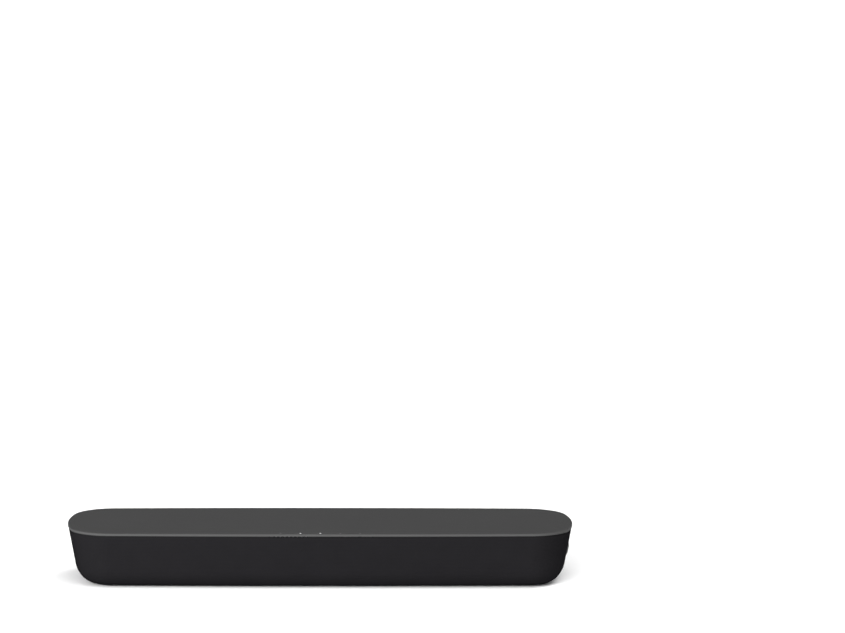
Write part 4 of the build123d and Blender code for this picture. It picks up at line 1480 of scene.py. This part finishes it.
def makeStage():
    work = bmesh.new()
    bmesh.ops.create_grid(work, x_segments=4, y_segments=4, size=studio["floorHalf"])
    floor = placed("floor", meshFrom(work, "floor"))
    material, tree = newMaterial("floorPaper")
    cloud = noiseAt(tree, objectPlace(tree), 0.3)
    pale = (studio["floor"],) * 3
    finishMaterial(tree, {
        "Base Color": mixColour(tree, cloud, tone(pale, 0.99), tone(pale)),
        "Roughness": cloud * 0.02 + 0.9,
        "Specular IOR Level": 0.1,
    })
    floor.data.materials.append(material)
    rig.stage(floor)
    world = bpy.data.worlds.new("studio")
    bpy.context.scene.world = world
    world.use_nodes = True
    backdrop = world.node_tree.nodes["Background"]
    backdrop.inputs[0].default_value = (1, 1, 1, 1)
    backdrop.inputs[1].default_value = studio["world"]


def addLamp(name, place, aim, size, power):
    data = bpy.data.lights.new(name, "AREA")
    data.shape = "RECTANGLE"
    data.size, data.size_y = size
    data.energy = power
    lamp = placed(name, data)
    lamp.location = place
    lamp.rotation_euler = (Vector(aim) - Vector(place)).to_track_quat("-Z", "Y").to_euler()


def addFarLight(name, aim, power):
    data = bpy.data.lights.new(name, "SUN")
    data.energy = power
    data.angle = studio["spread"]
    lamp = placed(name, data)
    lamp.rotation_euler = Vector(aim).to_track_quat("-Z", "Y").to_euler()


def makeCamera():
    data = bpy.data.cameras.new("camera")
    data.lens = studio["lens"]
    data.clip_end = 50
    camera = placed("camera", data)
    camera.location = (0, -studio["cameraAhead"], lidTop + studio["cameraAbove"])
    forward = Vector((studio["pan"], 1, studio["tilt"]))
    level = forward.to_track_quat("-Z", "Y")
    camera.rotation_euler = (level @ Quaternion((0, 0, 1), studio["roll"])).to_euler()
    bpy.context.scene.camera = camera


bpy.context.scene.view_settings.view_transform = "Standard"
makeStage()
addFarLight("frontLight", studio["frontAim"], studio["front"])
addFarLight("overheadLight", studio["overheadAim"], studio["overhead"])
addFarLight("rearFill", studio["rearAim"], studio["rear"])
addLamp("leftStrip", *studio["strip"])
makeCamera()
print("stage, lights and camera made")

litGuide = glowing("litGuide", 1.2)
dimGuide = mouldedPlastic("dimGuide", (0.12, 0.12, 0.12), 0.4)
finishes = {
    # the lid's upright rim side gets a painted highlight, a base colour 1.5 times paler than its top
    "lid_plastic": mouldedPlastic("lidPlastic", (0.0362, 0.0360, 0.0362), 0.62, specular=0.05,
                                  grain=0.45 * mm, depth=0.03 * mm, flankHighlight=1.5),
    "grille_cloth": knitCloth("clothFinish"),
    "black_plastic": mouldedPlastic("blackPlastic", (0.0135, 0.0135, 0.0140), 0.5, specular=0.22,
                                    grain=0.4 * mm, depth=0.03 * mm),
    "key_plastic": mouldedPlastic("keyPlastic", (0.024, 0.024, 0.025), 0.36, specular=0.4,
                                  grain=0.25 * mm, depth=0.006 * mm, uneven=0.08),
    "foot_rubber": rubber("footRubber", (0.022, 0.022, 0.022)),
    "screw_steel": metal("screwSteel", (0.16, 0.16, 0.17), 0.4, (1, 1, 6)),
    "insert_brass": metal("insertBrass", (0.72, 0.52, 0.22), 0.32, (1, 10, 1)),
    "cone_paper": pulpPaper("conePaper", (0.026, 0.026, 0.028)),
    "coil_copper": winding("coilCopper", (0.62, 0.27, 0.11)),
    "spider_cloth": wovenCloth("spiderCloth", (0.35, 0.26, 0.12)),
    "plated_steel": metal("platedSteel", (0.62, 0.62, 0.61), 0.33, (10, 1, 1)),
    "magnet_ferrite": mouldedPlastic("magnetFerrite", (0.05, 0.05, 0.055), 0.75, specular=0.3,
                                     grain=0.3 * mm, depth=0.04 * mm, uneven=0.3),
    "green_board": circuitBoard("greenBoard", (0.02, 0.13, 0.05)),
    "chip_black": mouldedPlastic("chipBlack", (0.028, 0.028, 0.03), 0.6, specular=0.3,
                                 grain=0.15 * mm, depth=0.015 * mm),
    "sink_aluminium": metal("sinkAluminium", (0.75, 0.76, 0.77), 0.38, (1, 12, 1)),
    "capacitor_sleeve": mouldedPlastic("capacitorSleeve", (0.03, 0.035, 0.05), 0.3, specular=0.5,
                                       depth=0.004 * mm),
    "shutter_plastic": mouldedPlastic("shutterPlastic", (0.05, 0.05, 0.052), 0.4, specular=0.4,
                                      grain=0.3 * mm, depth=0.01 * mm),
    "clear_guide": dimGuide,
    "lead_sleeve": mouldedPlastic("leadSleeve", (0.02, 0.02, 0.022), 0.42, specular=0.4,
                                  grain=0.8 * mm, depth=0.01 * mm),
}
print("finishes made")

clothPiece, clothSize = makeCloth()
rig.sheet(clothPiece, flat=clothSize, held="stretched", rests_on=["grille_frame"])
paint(clothPiece, finishes["grille_cloth"])
paint(makeLid(), finishes["lid_plastic"])
print("lid and cloth made")
for piece in (makeRearCover(), makeBottomCase(), makePort("left", -1), makePort("right", 1), makeBezel(),
              makeSeal()):
    paint(piece, finishes["black_plastic"])
paint(makeFeet(), finishes["foot_rubber"])
paint(makeInserts(), finishes["insert_brass"])
print("rear cover, bottom case, ports, fixings and feet made")
keyBodies = {
    "power_button": "power_key",
    "input_button": "input_key",
    "volume_down_button": "volume_down_key",
    "volume_up_button": "volume_up_key",
}
for step, (name, body) in enumerate(keyBodies.items()):
    paint(makeKey(name, body, step), finishes["key_plastic"])
makeLights()
print("keys and lights made")

slots = {entry["node"]: entry["material_slot"] for entry in frame["record"]["subparts"]}
for name, part in nodes.items():
    if not part.hide_render:
        paint(part, finishes[slots[name]])

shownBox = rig.bounds()
with open("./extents.json", "w") as sizes:
    json.dump({"cad": [list(corner) for corner in cadBox], "shown": [list(corner) for corner in shownBox]},
              sizes)
